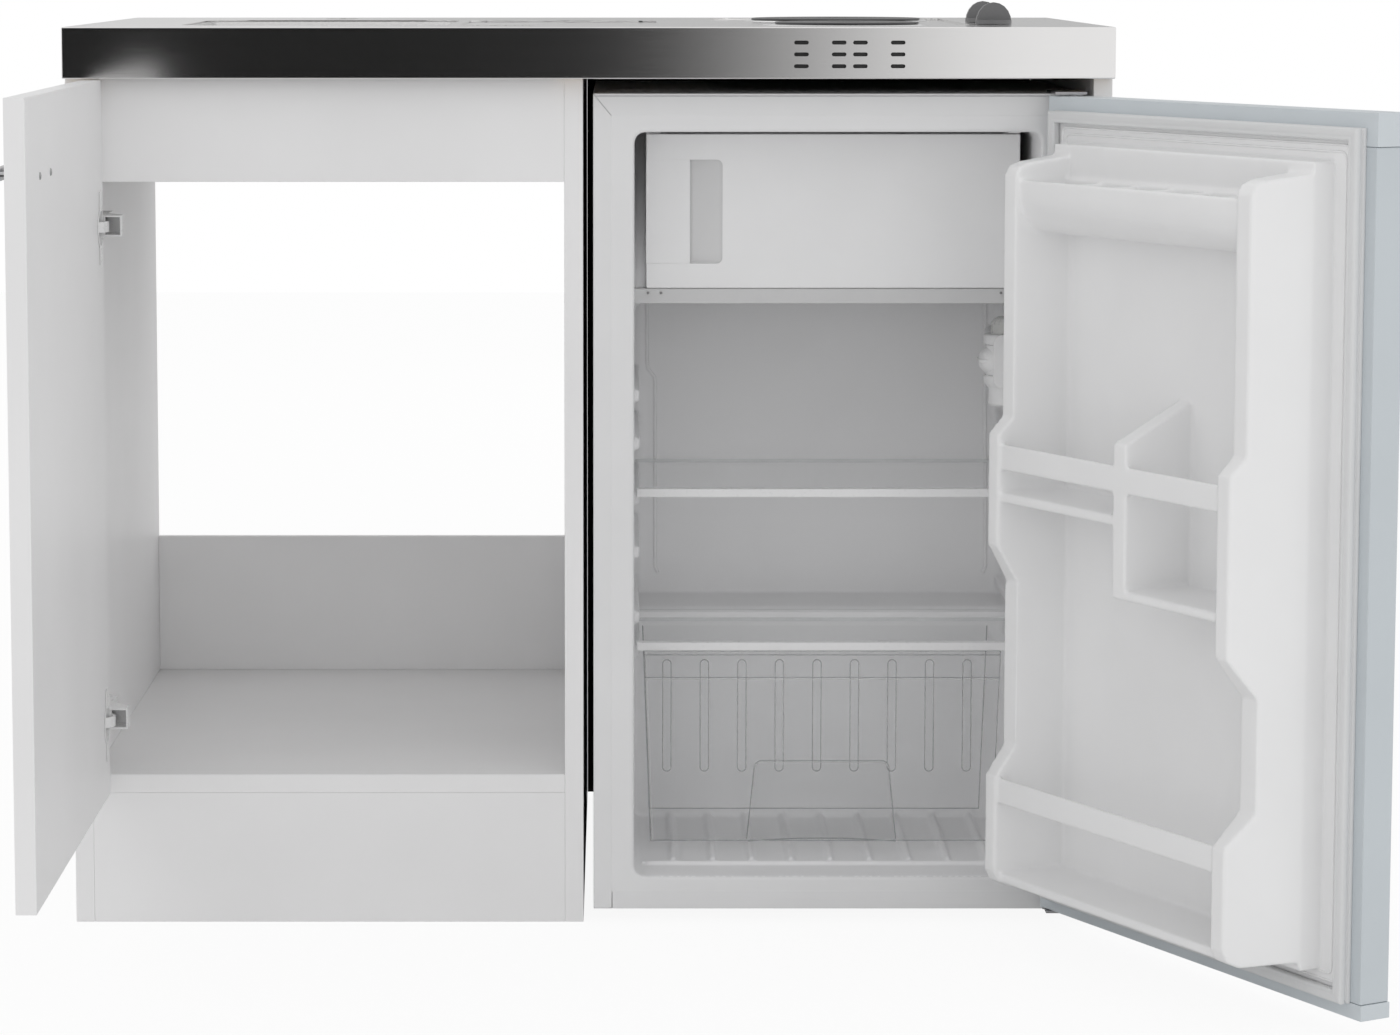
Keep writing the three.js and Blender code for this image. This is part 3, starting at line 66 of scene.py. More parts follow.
# The refrigerator's inside, from the solids round it. SKIN is a face's distance from a solid
SKIN = 0.0003
CAVITY_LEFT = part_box("drip_tray")[0].x - SKIN
CAVITY_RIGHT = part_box("drip_tray")[1].x + SKIN
CAVITY_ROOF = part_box("freezer_box")[1].z + SKIN
CAVITY_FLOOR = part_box("crisper_drawer")[0].z - 0.0103
CAVITY_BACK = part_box("shelf_glass_upper")[1].y + 0.006
STEP_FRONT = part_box("shelf_glass_lower")[1].y + 0.003
STEP_TOP = 0.266
COOLER_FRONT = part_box("fridge_body")[0].y
RECESS_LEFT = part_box("freezer_flap")[0].x + 0.0428
RECESS_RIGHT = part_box("freezer_flap")[0].x + 0.0746
TRAY_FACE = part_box("drip_tray")[0].y - 0.0006
DRAWER_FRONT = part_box("crisper_drawer")[0].y + 0.014
DRAWER_TAPER = 0.007
PULL_MIDDLE = sum(corner.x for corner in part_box("crisper_drawer")) / 2 - 0.0003

COOLER_PIN = Vector(JOINTS["refrigerator_door_swing"]["pos_m"])
COOLER_OPEN = -math.radians(JOINTS["refrigerator_door_swing"]["range_deg"][0])


# ------------------------------------------------------------------ sizes and colours


def length(name, description, default):
    """A size that a user can change."""
    return FloatProperty(
        name=name, description=description, default=default, min=0.0, unit="LENGTH"
    )


def power(name, description, default):
    """A lamp's power."""
    return FloatProperty(name=name, description=description, default=default, unit="POWER")


def colour(name, description, default):
    """A colour that a user can change."""
    return FloatVectorProperty(
        name=name,
        description=description,
        default=default,
        size=3,
        min=0.0,
        max=1.0,
        subtype="COLOR",
    )


class BoardLook(bpy.types.PropertyGroup):
    edge: length("Board edge", "Rounding of a board's edges", 0.0006)
    white: colour("Board white", "Colour of the faced boards", (0.87, 0.867, 0.87))
    back: colour("Back board", "Colour of the niche's back board", (0.04, 0.04, 0.041))
    wood: colour("Batten wood", "Colour of the battens", (0.50, 0.34, 0.18))


class SteelLook(bpy.types.PropertyGroup):
    edge: length("Fold radius", "Rounding of the folded top's outer edges", 0.0011)
    sheet: length("Bowl sheet", "Thickness of the bowl's sheet", 0.0011)
    roll: length("Bowl roll", "Rounding where the bowl's walls leave the top", 0.0065)
    fillet: length("Bowl fillet", "Rounding where the bowl's walls meet its floor", 0.026)
    steel: colour("Steel", "Colour of the stainless sheet", (0.78, 0.772, 0.768))
    iron: colour("Hotplate", "Colour of the hotplates", (0.045, 0.045, 0.047))
    knob: colour("Knob", "Colour of the control knobs", (0.17, 0.17, 0.173))
    bright: colour("Bright metal", "Colour of hinges and trim rings", (0.84, 0.84, 0.84))


class CoolerLook(bpy.types.PropertyGroup):
    edge: length("Sheet edge", "Rounding of the door's and the body's edges", 0.0010)
    soft: length("Moulded grain", "Cell size when a moulding is rounded", 0.0019)
    rounds: IntProperty(
        name="Rounding passes", description="Smoothing of the door's lining", default=4, min=0
    )
    body: colour("Body", "Colour of the body's sheet", (0.79, 0.79, 0.795))
    door: colour("Door", "Colour of the door's sheet", (0.58, 0.625, 0.655))
    cap: colour("Caps", "Colour of the door's end caps", (0.63, 0.675, 0.705))
    liner: colour("Liner", "Colour of the door's moulded lining", (0.88, 0.88, 0.883))
    lining: colour("Lining", "Colour of the body's moulded lining", (0.94, 0.938, 0.945))
    flange: colour("Flange", "Colour of the lining's front flange", (0.80, 0.80, 0.805))
    seal: colour("Seal", "Colour of the door seal", (0.72, 0.725, 0.73))
    glass: colour("Glass", "Colour of the shelves", (0.80, 0.85, 0.84))
    clear: colour("Drawer", "Colour of the clear drawer", (0.80, 0.82, 0.83))


class StudioLook(bpy.types.PropertyGroup):
    key: power("Key lamp", "Power of the key lamp", 2.0)
    fill: power("Fill lamp", "Power of the fill lamp", 4.5)
    front: power("Front lamp", "Power of the front lamp", 14.0)
    back: power("Back lamp", "Power of the back lamp", 16.0)
    sky: FloatProperty(name="Sky", description="Strength of the even light", default=0.79)
    floor: colour("Floor", "Colour of the floor", (0.94, 0.94, 0.94))


# ----------------------------------------------------------------------- shader nodes

# Places of a colour Mix node's sockets, because several of them share a name
SHARE, FIRST, SECOND, MIXED = 0, 6, 7, 2
WHITE = (1.0, 1.0, 1.0, 1.0)
# Inputs that two of the groups share
LIMITS = (("Low", "NodeSocketFloat", 0.0), ("High", "NodeSocketFloat", 1.0))
GROUPS = {}
FINISHES = {}


def add(tree, kind, **values):
    """A shader node with values on the sockets named, where _ stands for a space."""
    made = tree.nodes.new("ShaderNode" + kind)
    for name, value in values.items():
        made.inputs[name.replace("_", " ")].default_value = value
    return made


def maths(tree, operation):
    """A node that works on two numbers."""
    made = add(tree, "Math")
    made.operation = operation
    return made


def link(source, output, target, entry):
    """Joins a node's output to another node's input."""
    source.id_data.links.new(source.outputs[output], target.inputs[entry])


def new_group(name, inputs, outputs):
    """An empty shader group with its sockets, and its input and output nodes."""
    tree = bpy.data.node_groups.new(name, "ShaderNodeTree")
    for label, kind, default in inputs:
        made = tree.interface.new_socket(name=label, in_out="INPUT", socket_type=kind)
        made.default_value = default
    for label, kind in outputs:
        tree.interface.new_socket(name=label, in_out="OUTPUT", socket_type=kind)
    return tree, tree.nodes.new("NodeGroupInput"), tree.nodes.new("NodeGroupOutput")


def spread_noise(tree, given, noise, result):
    """Spreads a noise between a group's Low and High, and puts it out as its Value."""
    spread = add(tree, "MapRange", From_Min=0.3, From_Max=0.7)
    link(noise, "Fac", spread, "Value")
    link(given, "Low", spread, "To Min")
    link(given, "High", spread, "To Max")
    link(spread, "Result", result, "Value")


def mottle_group():
    """A slow, soft change over a surface, between two values."""
    tree, given, result = new_group(
        "soft_mottle", (("Scale", "NodeSocketFloat", 6.0), *LIMITS), (("Value", "NodeSocketFloat"),)
    )
    noise = add(tree, "TexNoise", Detail=3.0)
    link(add(tree, "TexCoord"), "Object", noise, "Vector")
    link(given, "Scale", noise, "Scale")
    spread_noise(tree, given, noise, result)
    return tree


def grain_group():
    """Fine grain, drawn out by different scales along the three directions."""
    tree, given, result = new_group(
        "drawn_grain",
        (("Scales", "NodeSocketVector", (40.0, 40.0, 40.0)), *LIMITS),
        (("Value", "NodeSocketFloat"), ("Height", "NodeSocketFloat")),
    )
    stretch = add(tree, "VectorMath")
    stretch.operation = "MULTIPLY"
    noise = add(tree, "TexNoise", Scale=1.0, Detail=4.0, Roughness=0.65)
    link(add(tree, "TexCoord"), "Object", stretch, 0)
    link(given, "Scales", stretch, 1)
    link(stretch, "Vector", noise, "Vector")
    spread_noise(tree, given, noise, result)
    link(noise, "Fac", result, "Height")
    return tree


def dust_group():
    """Faint dust that settles on what faces up."""
    tree, given, result = new_group(
        "settled_dust",
        (("Colour", "NodeSocketColor", (0.8, 0.8, 0.8, 1.0)), ("Amount", "NodeSocketFloat", 0.1)),
        (("Colour", "NodeSocketColor"),),
    )
    split = add(tree, "SeparateXYZ")
    noise = add(tree, "TexNoise", Scale=55.0, Detail=5.0)
    up = add(tree, "MapRange", From_Min=0.6, From_Max=1.0)
    specks = maths(tree, "MULTIPLY")
    share = maths(tree, "MULTIPLY")
    mix = add(tree, "Mix")
    mix.data_type = "RGBA"
    mix.inputs[SECOND].default_value = (0.62, 0.61, 0.59, 1.0)
    link(add(tree, "NewGeometry"), "Normal", split, "Vector")
    link(split, "Z", up, "Value")
    link(add(tree, "TexCoord"), "Object", noise, "Vector")
    link(up, "Result", specks, 0)
    link(noise, "Fac", specks, 1)
    link(specks, "Value", share, 0)
    link(given, "Amount", share, 1)
    link(share, "Value", mix, SHARE)
    link(given, "Colour", mix, FIRST)
    link(mix, MIXED, result, "Colour")
    return tree


# ------------------------------------------------------------------------- materials


def group(tree, kind, **values):
    """A shared shader group in a material, with its own values."""
    made = tree.nodes.new("ShaderNodeGroup")
    made.node_tree = GROUPS[kind]
    for name, value in values.items():
        made.inputs[name].default_value = value
    return made


def new_material(name):
    """A material with nothing in its tree but the output."""
    material = bpy.data.materials.new(name)
    material.use_nodes = True
    tree = material.node_tree
    tree.nodes.clear()
    return material, tree, tree.nodes.new("ShaderNodeOutputMaterial")


def darker(rgb, share):
    """A colour brought down to a share of itself."""
    return [c * share for c in rgb]


def finish(
    name,
    rgb,
    rough=0.45,
    metal=0.0,
    rough_spread=0.05,
    shade_spread=0.02,
    grain=(300.0, 300.0, 300.0),
    bump=0.00002,
    slow=7.0,
    dust=0.0,
    alpha=1.0,
    coat=0.0,
    gloss=0.5,
):
    """A surface with slow mottle in its colour and fine grain in its gloss and height."""
    material, tree, out = new_material(name)
    shader = add(
        tree,
        "BsdfPrincipled",
        Metallic=metal,
        Alpha=alpha,
        Coat_Weight=coat,
        Coat_Roughness=0.08,
        Specular_IOR_Level=gloss,
    )
    link(shader, "BSDF", out, "Surface")

    tint = add(tree, "Mix")
    tint.data_type = "RGBA"
    tint.inputs[FIRST].default_value = (*darker(rgb, 1 - shade_spread), 1.0)
    lighter = [min(1.0, c * (1 + shade_spread)) for c in rgb]
    tint.inputs[SECOND].default_value = (*lighter, 1.0)
    link(group(tree, "mottle", Scale=slow), "Value", tint, SHARE)
    if dust:
        layer = group(tree, "dust", Amount=dust)
        link(tint, MIXED, layer, "Colour")
        link(layer, "Colour", shader, "Base Color")
    else:
        link(tint, MIXED, shader, "Base Color")

    fine = group(tree, "grain", Scales=grain, Low=rough - rough_spread, High=rough + rough_spread)
    link(fine, "Value", shader, "Roughness")
    if bump:
        relief = add(tree, "Bump", Strength=1.0, Distance=bump)
        link(fine, "Height", relief, "Height")
        link(relief, "Normal", shader, "Normal")
    FINISHES[name] = material


def make_finishes(context):
    """Builds the shader groups and one material for each finish of the unit."""
    board = context.scene.board_look
    steel = context.scene.steel_look
    cooler = context.scene.cooler_look
    GROUPS["mottle"] = mottle_group()
    GROUPS["grain"] = grain_group()
    GROUPS["dust"] = dust_group()

    finish("white_board", board.white, 0.42, slow=5, bump=0.00003, grain=(900, 900, 900))
    finish("dark_board", board.back, 0.75, gloss=0.2)
    finish("raw_wood", board.wood, 0.7, shade_spread=0.18, grain=(500, 14, 500), bump=0.0002)

    brushed = dict(rough_spread=0.015, shade_spread=0.012, grain=(25, 1400, 1400))
    finish("top_steel", steel.steel, 0.14, 1.0, bump=0.0000015, dust=0.03, **brushed)
    pressed = dict(grain=(120, 120, 900), bump=0.000006, dust=0.04)
    finish("sink_steel", darker(steel.steel, 0.75), 0.26, 1.0, **pressed)
    finish("bright_steel", steel.bright, 0.16, 1.0, bump=0.0, rough_spread=0.03)
    finish("hinge_plating", steel.bright, 0.30, 0.15, bump=0.000004, rough_spread=0.04)
    finish("handle_satin", (0.45, 0.45, 0.455), 0.30, 1.0, grain=(900, 60, 900), bump=0.000004)
    finish("pan_zinc", (0.5, 0.51, 0.52), 0.45, 1.0, shade_spread=0.12, slow=60)
    finish("plate_iron", steel.iron, 0.38, grain=(500, 500, 500), shade_spread=0.1, dust=0.05)
    finish("knob_plastic", steel.knob, 0.42, grain=(900, 900, 900), shade_spread=0.04, dust=0.02)
    finish("switch_plastic", (0.72, 0.71, 0.68), 0.5)

    finish("cooler_sheet", cooler.body, 0.36, grain=(500, 500, 500))
    finish("door_sheet", cooler.door, 0.34, grain=(500, 500, 500))
    finish("door_cap", cooler.cap, 0.38, bump=0.00001, grain=(700, 700, 700))
    finish("liner_plastic", cooler.liner, 0.33, grain=(250, 250, 250), coat=0.1)
    finish("lining_plastic", cooler.lining, 0.36, grain=(250, 250, 250), coat=0.05)
    finish("flange_plastic", cooler.flange, 0.36, grain=(250, 250, 250))
    finish("freezer_plastic", cooler.liner, 0.38, grain=(400, 400, 400))
    # Painted shade: the flap's recess, in the liner's plastic made darker
    finish("recess_painted_shade", darker(cooler.liner, 0.80), 0.4, grain=(400, 400, 400))
    # Painted shade: the drip tray, darker for the shade under the flap and on its downward-facing
    # front
    finish("tray_painted_shade", darker(cooler.liner, 0.72), 0.4, grain=(400, 400, 400))
    finish("seal_rubber", cooler.seal, 0.5, bump=0.00003)
    finish("shelf_edge", cooler.liner, 0.3, bump=0.0)
    # Dark grey for the tray's pins, and for painted shade lines on the thermostat and round the
    # dial
    finish("pin_grey_and_painted_shade", (0.25, 0.25, 0.25), 0.4)
    finish("bracket_steel", (0.42, 0.42, 0.43), 0.35, 1.0, bump=0.00001)
    # Black for the feet, and for the painted shade behind the top's vents
    finish("foot_plastic", (0.02, 0.02, 0.02), 0.55)
    finish("motor_enamel", (0.012, 0.012, 0.013), 0.3, coat=0.3)

    for name, rgb, rough, rough_spread, alpha in (
        ("shelf_glass", cooler.glass, 0.05, 0.015, 0.06),
        ("glass_edge", (0.70, 0.73, 0.73), 0.08, 0.02, 0.32),
        ("lamp_glass", (0.9, 0.9, 0.88), 0.05, 0.02, 0.6),
        ("clear_plastic", cooler.clear, 0.09, 0.03, 0.06),
        ("clear_edge", (0.50, 0.51, 0.52), 0.12, 0.03, 0.42),
        # Painted glints: bright beads on the lamp glass and the drawer
        ("clear_painted_glint", (0.95, 0.95, 0.95), 0.10, 0.03, 0.55),
    ):
        finish(name, rgb, rough, rough_spread=rough_spread, bump=0.0, alpha=alpha)


# ---------------------------------------------------------------- pieces and meshes


def into_scene(name, data):
    """A new object in the scene."""
    made = bpy.data.objects.new(name, data)
    bpy.context.scene.collection.objects.link(made)
    return made


def place(name, mesh, body, slot, material, stands_for=()):
    """Puts a mesh in the scene on its body, with its finish."""
    piece = into_scene(name, mesh)
    mesh.materials.clear()
    mesh.materials.append(FINISHES[material])
    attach(piece, body)
    if stands_for:
        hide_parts(*stands_for)
    return piece


def modify(piece, name, kind, **settings):
    """Adds a modifier with its settings."""
    modifier = piece.modifiers.new(name, kind)
    for key, value in settings.items():
        setattr(modifier, key, value)


def settle(piece):
    """Applies a piece's modifiers to its mesh."""
    bpy.context.view_layer.update()
    graph = bpy.context.evaluated_depsgraph_get()
    made = bpy.data.meshes.new_from_object(piece.evaluated_get(graph))
    old = piece.data
    piece.modifiers.clear()
    piece.data = made
    bpy.data.meshes.remove(old)


def shade(mesh, is_smooth=True):
    """Shades all faces smooth, or all flat."""
    for face in mesh.polygons:
        face.use_smooth = is_smooth


def smooth(mesh, angle=35.0):
    """Smooth faces with sharp edges where they turn more than the angle."""
    shade(mesh)
    mesh.set_sharp_from_angle(angle=math.radians(angle))


def even_normals(piece):
    """Keeps the big faces flat beside small rounded edges."""
    modify(piece, "even normals", "WEIGHTED_NORMAL", keep_sharp=True, weight=80)


def opened(mesh):
    """A bmesh with a mesh's faces."""
    work = bmesh.new()
    work.from_mesh(mesh)
    return work


def stored(work, mesh):
    """Puts a bmesh's faces in a mesh and frees it."""
    work.to_mesh(mesh)
    work.free()
    return mesh


def as_mesh(work, name):
    """A new mesh from a bmesh, which is freed."""
    return stored(work, bpy.data.meshes.new(name))


def bevel(work, edges, width, segments, clamp=True):
    """Rounds the edges given; clamp stops the roundings from crossing."""
    bmesh.ops.bevel(
        work,
        geom=edges,
        offset=width,
        segments=segments,
        profile=0.5,
        affect="EDGES",
        clamp_overlap=clamp,
    )


def round_edges(work, width, segments, over, keep=None):
    """Rounds the edges that turn more than the angle given."""
    edges = [
        e
        for e in work.edges
        if len(e.link_faces) == 2
        and e.calc_face_angle(0.0) > math.radians(over)
        and (keep is None or keep(e))
    ]
    bevel(work, edges, width, segments)


def solid_copy(node):
    """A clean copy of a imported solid, with its flat faces whole."""
    work = opened(NODES[node].data)
    bmesh.ops.remove_doubles(work, verts=work.verts, dist=1e-6)
    bmesh.ops.dissolve_limit(
        work, angle_limit=math.radians(0.4), verts=work.verts, edges=work.edges
    )
    return work


def dressed(node, body, slot, material, width, segments=2, over=25.0, keep=None):
    """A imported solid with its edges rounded, in place of that solid."""
    work = solid_copy(node)
    round_edges(work, width, segments, over, keep)
    mesh = as_mesh(work, node + "_dressed")
    smooth(mesh)
    piece = place(node + "_dressed", mesh, body, slot, material, (node,))
    even_normals(piece)
    return piece


def arc(centre, radius, start, sweep, steps):
    """Points of an arc from an angle over a sweep, both in degrees."""
    turns = [math.radians(start + sweep * i / steps) for i in range(steps + 1)]
    return [(centre[0] + radius * math.cos(t), centre[1] + radius * math.sin(t)) for t in turns]


def ring_path(centre, radius, height, steps=40):
    """Points of a level circle."""
    return [(x, y, height) for x, y in arc(centre, radius, 0, 360, steps)[:-1]]


def rounded_outline(x0, x1, y0, y1, radius, steps=8):
    """Points of a rectangle with round corners."""
    left, right, front, back = x0 + radius, x1 - radius, y0 + radius, y1 - radius
    corners = ((right, front), (right, back), (left, back), (left, front))
    points = []
    for i, corner in enumerate(corners):
        points += arc(corner, radius, 90 * (i - 1), 90, steps)
    return points


def loft(rings, capped=True, closed=False):
    """Points and faces of a skin through rings with the same number of points."""
    count = len(rings[0])
    verts = [tuple(p) for ring in rings for p in ring]
    faces = []
    steps = len(rings) if closed else len(rings) - 1
    for r in range(steps):
        a, b = r * count, ((r + 1) % len(rings)) * count
        for i in range(count):
            j = (i + 1) % count
            faces.append((a + i, a + j, b + j, b + i))
    if capped and not closed:
        faces.append(tuple(reversed(range(count))))
        faces.append(tuple(range((len(rings) - 1) * count, len(rings) * count)))
    return verts, faces


def mesh_of(name, verts, faces, angle=35.0):
    """A mesh from points and faces, with double points joined and the faces turned out."""
    mesh = bpy.data.meshes.new(name)
    mesh.from_pydata(verts, [], faces)
    mesh.update()
    work = opened(mesh)
    bmesh.ops.remove_doubles(work, verts=work.verts, dist=1e-7)
    bmesh.ops.recalc_face_normals(work, faces=work.faces)
    stored(work, mesh)
    smooth(mesh, angle)
    return mesh


def skin(name, rings, angle=35.0, capped=True, closed=False):
    """A mesh through rings of points."""
    return mesh_of(name, *loft(rings, capped, closed), angle)


def turned(name, profile, centre=(0.0, 0.0), steps=64):
    """A piece turned about an upright axis, from pairs of radius and height."""
    axis = 1e-5
    rings = [ring_path(centre, max(radius, axis), height, steps) for radius, height in profile]
    if profile[0] == profile[-1]:
        return skin(name, rings[:-1], closed=True)
    return skin(name, rings)


def box_mesh(name, x0, x1, y0, y1, z0, z1, width=0.0, segments=2):
    """A box between its six sides, with its edges rounded by the width."""
    work = bmesh.new()
    bmesh.ops.create_cube(work, size=1.0)
    for v in work.verts:
        v.co.x = x1 if v.co.x > 0 else x0
        v.co.y = y1 if v.co.y > 0 else y0
        v.co.z = z1 if v.co.z > 0 else z0
    if width:
        bevel(work, list(work.edges), width, segments)
    mesh = as_mesh(work, name)
    smooth(mesh)
    return mesh


def joined(name, meshes):
    """Several meshes as one."""
    work = bmesh.new()
    for mesh in meshes:
        work.from_mesh(mesh)
        bpy.data.meshes.remove(mesh)
    return as_mesh(work, name)


def carved(mesh, *cutters):
    """A mesh with the space of others taken out of it."""
    work = into_scene("carved", mesh)
    tools = [into_scene("cutter", cutter) for cutter in cutters]
    for tool in tools:
        modify(work, "cut", "BOOLEAN", operation="DIFFERENCE", solver="EXACT", object=tool)
    settle(work)
    made = work.data
    bpy.data.objects.remove(work)
    for tool in tools:
        old = tool.data
        bpy.data.objects.remove(tool)
        bpy.data.meshes.remove(old)
    return made


def moulded(mesh, cell, passes, faces_left=0.25):
    """Rounds all of a solid's edges as a moulding's are, and thins its faces out."""
    work = into_scene("moulding", mesh)
    modify(work, "cells", "REMESH", mode="VOXEL", voxel_size=cell)
    modify(work, "soften", "SMOOTH", factor=0.5, iterations=passes)
    modify(work, "fewer", "DECIMATE", ratio=faces_left)
    settle(work)
    made = work.data
    bpy.data.objects.remove(work)
    shade(made)
    return made


def tube(path, radius, closed=False, sides=8):
    """Points and faces of a thin bead along a path."""
    count = len(path)
    rings = []
    for i, here in enumerate(path):
        if closed:
            before, after = path[i - 1], path[(i + 1) % count]
        else:
            before, after = path[max(i - 1, 0)], path[min(i + 1, count - 1)]
        along = (Vector(after) - Vector(before)).normalized()
        aside = along.orthogonal() if abs(along.y) > 0.9 else along.cross(Vector((0, 1, 0)))
        aside.normalize()
        other = along.cross(aside).normalized()
        ring = arc((0.0, 0.0), radius, 0, 360, sides)[:-1]
        rings.append([Vector(here) + aside * u + other * v for u, v in ring])
    return loft(rings, not closed, closed)


def beads(name, paths, radius, closed=False, sides=8):
    """Thin beads along several paths, as one mesh."""
    return joined(name, [mesh_of(name, *tube(path, radius, closed, sides), 60) for path in paths])


def in_cooler_door(mesh):
    """Moves a mesh from the door's own frame, closed on its pin, to its open place."""
    pin = Matrix.Translation((COOLER_PIN.x, COOLER_PIN.y, 0.0))
    mesh.transform(pin @ Matrix.Rotation(COOLER_OPEN, 4, "Z"))
    return mesh


# ------------------------------------------------------- forms of the hob and the sink


def hotplate_profile(radius, low, high, seat):
    """Half a hotplate's section, with the rings cast in its face."""
    groove, pitch, hub = 0.00022, 0.0034, 0.019
    profile = [(0.0, low), (radius - 0.006, low), (radius - 0.006, seat)]
    profile += [(radius - 0.0008, seat), (radius, seat + 0.0006)]
    profile += [(radius, high - 0.0009), (radius - 0.0003, high - 0.0003)]
    profile.append((radius - 0.0010, high))
    r = radius - 0.004
    while r > hub + 0.002:
        profile += [(r, high), (r - 0.0004, high - groove)]
        profile += [(r - 0.0010, high - groove), (r - 0.0014, high)]
        r -= pitch
    profile += [(hub, high), (0.0175, high - 0.0008), (0.0160, high - 0.0010)]
    profile.append((0.0, high - 0.0010))
    return profile


def trim_profile(inner, outer, low, high):
    """A trim ring's section, rolled up from the top and down to the hotplate."""
    rise = high - low
    return [
        (inner, low),
        (outer, low),
        (outer, low + rise * 0.3),
        (outer - 0.0006, low + rise * 0.8),
        (outer - 0.0016, high),
        (outer - 0.0032, high),
        (outer - 0.0042, high - rise * 0.35),
        (inner, high - rise * 0.4),
        (inner, low),
    ]


def bowl_rings(look):
    """Rings of the bowl's inner face: flange, roll, walls, fillet and the dish to its waste."""
    low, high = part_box("sink_bowl")
    waste_low, waste_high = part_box("sink_waste")
    centre = ((waste_low.x + waste_high.x) / 2, (waste_low.y + waste_high.y) / 2)
    flange, corner, draft, steps = 0.009, 0.048, 0.004, 10
    top, floor = high.z - 0.0002, low.z + look.sheet
    roll, fillet = look.roll, look.fillet

    def ring(inset, z, radius):
        x0, x1 = low.x + inset, high.x - inset
        flat = rounded_outline(x0, x1, low.y + inset, high.y - inset, radius, steps)
        return [(x, y, z) for x, y in flat]

    def wall(inset, z):
        return ring(flange + inset, z, max(corner - inset, 0.004))

    rings = [ring(0.001, top, corner + flange)]
    for i in range(7):
        turn = math.pi / 2 * i / 6
        rings.append(wall(roll * math.sin(turn), top - roll * (1 - math.cos(turn))))
    rings.append(wall(roll + draft, floor + fillet))
    for i in range(1, 8):
        turn = math.pi / 2 * i / 7
        inset = roll + draft + fillet * (1 - math.cos(turn))
        rings.append(wall(inset, floor + fillet * (1 - math.sin(turn))))
    edge = rings[-1]
    dish = 0.001
    hole = waste_high.x - centre[0] - 0.009
    for share, drop in ((0.35, 0.0004), (0.7, 0.0008), (1.0, dish)):
        blended = []
        for x, y, z in edge:
            away = Vector((x - centre[0], y - centre[1]))
            spot = away.lerp(away.normalized() * hole, share)
            blended.append((centre[0] + spot.x, centre[1] + spot.y, floor + dish - drop))
        rings.append(blended)
    return rings


# --------------------------------------------------------- forms of the refrigerator


def frame_joints(low, high):
    """Cutters for the thin joints of the refrigerator's sheet frame: mitres, feet and seam."""
    gap, deep, ahead = 0.0008, 0.0022, 0.001
    front, back = low.y - ahead, low.y + deep
    frame_side, frame_foot, half_mitre = 0.018, 0.0175, 0.0135
    cuts = []
    for x, turn in ((low.x, -1.0), (high.x, 1.0)):
        mitre = box_mesh("joint", -gap / 2, gap / 2, -ahead, deep, -half_mitre, half_mitre)
        lean = Matrix.Rotation(math.atan2(frame_side, 0.022) * turn, 4, "Y")
        mitre.transform(Matrix.Translation((x - turn * 0.009, low.y, high.z - 0.011)) @ lean)
        cuts.append(mitre)
        inner = x - turn * frame_side
        sides = (inner - gap / 2, inner + gap / 2)
        cuts.append(box_mesh("joint", *sides, front, back, low.z - 0.001, low.z + frame_foot))
    seam = high.z - 0.0030
    cuts.append(box_mesh("seam", low.x - 0.001, high.x + 0.001, front, back, seam, seam + gap))
    return cuts


def cavity_mesh(face):
    """The lined inside's space, with its long corners and its rear edges rounded."""
    back = CAVITY_BACK
    sides = (CAVITY_LEFT, CAVITY_RIGHT)
    mesh = box_mesh("cavity", *sides, face - 0.02, back, CAVITY_FLOOR, CAVITY_ROOF)
    work = opened(mesh)
    long_edges = [e for e in work.edges if abs(e.verts[0].co.y - e.verts[1].co.y) > 0.01]
    bevel(work, long_edges, 0.010, 4, clamp=False)
    rear = [e for e in work.edges if all(v.co.y > back - 1e-5 for v in e.verts)]
    bevel(work, rear, 0.013, 5, clamp=False)
    return stored(work, mesh)


def step_mesh(left, right, back):
    """The step over the compressor, with its upper front edge rounded."""
    mesh = box_mesh("step", left, right, STEP_FRONT, back, 0, STEP_TOP)
    work = opened(mesh)
    nose = [
        e
        for e in work.edges
        if all(v.co.y < STEP_FRONT + 1e-5 and v.co.z > STEP_TOP - 1e-5 for v in e.verts)
    ]
    bevel(work, nose, 0.012, 5, clamp=False)
    return stored(work, mesh)


def floor_ribs():
    """Nine ribs from front to back on the lining's floor, and the sill before them."""
    middle = (CAVITY_LEFT + CAVITY_RIGHT) / 2
    foot, pitch, half, front = 0.02, 0.0388, 0.003, -0.228
    ribs = []
    for i in range(9):
        x = middle + (i - 4) * pitch
        levels = (foot, CAVITY_FLOOR + 0.005)
        ribs.append(box_mesh("floor_rib", x - half, x + half, front, 0.0, *levels, 0.002))
    sides = (CAVITY_LEFT + 0.012, CAVITY_RIGHT - 0.012)
    sill = box_mesh("sill", *sides, -0.240, -0.234, foot, CAVITY_FLOOR + 0.004, 0.002)
    return [*ribs, sill]


def wall_runners(left, right, back, reach):
    """The runners that carry the shelves, on both walls, and those at other heights."""
    start = COOLER_FRONT + 0.12
    stand, tall = 0.006, 0.012
    in_use = [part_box("shelf_glass_" + name)[0].z - SKIN for name in ("upper", "lower")]
    free = (0.5085, 0.4605, 0.352, 0.286)
    runners = []
    for top in (*in_use, *free):
        end = back if top > STEP_TOP else STEP_FRONT + 0.005
        for sides in ((left, left + reach + stand), (right - reach - stand, right)):
            runners.append(box_mesh("runner", *sides, start, end, top - tall, top, 0.0012))
    return runners


def shoulder_mesh(left, inside, back, roof):
    """The left wall's shoulder beside the freezer, whose front leans back as it rises."""
    foot, front, lean = 0.6105, -0.193, 0.62
    mesh = box_mesh("shoulder", left, inside, front, back, foot, roof, 0.002)
    for v in mesh.vertices:
        if v.co.y < -0.1:
            v.co.y += lean * max(0.0, v.co.z - foot - 0.02)
    return mesh


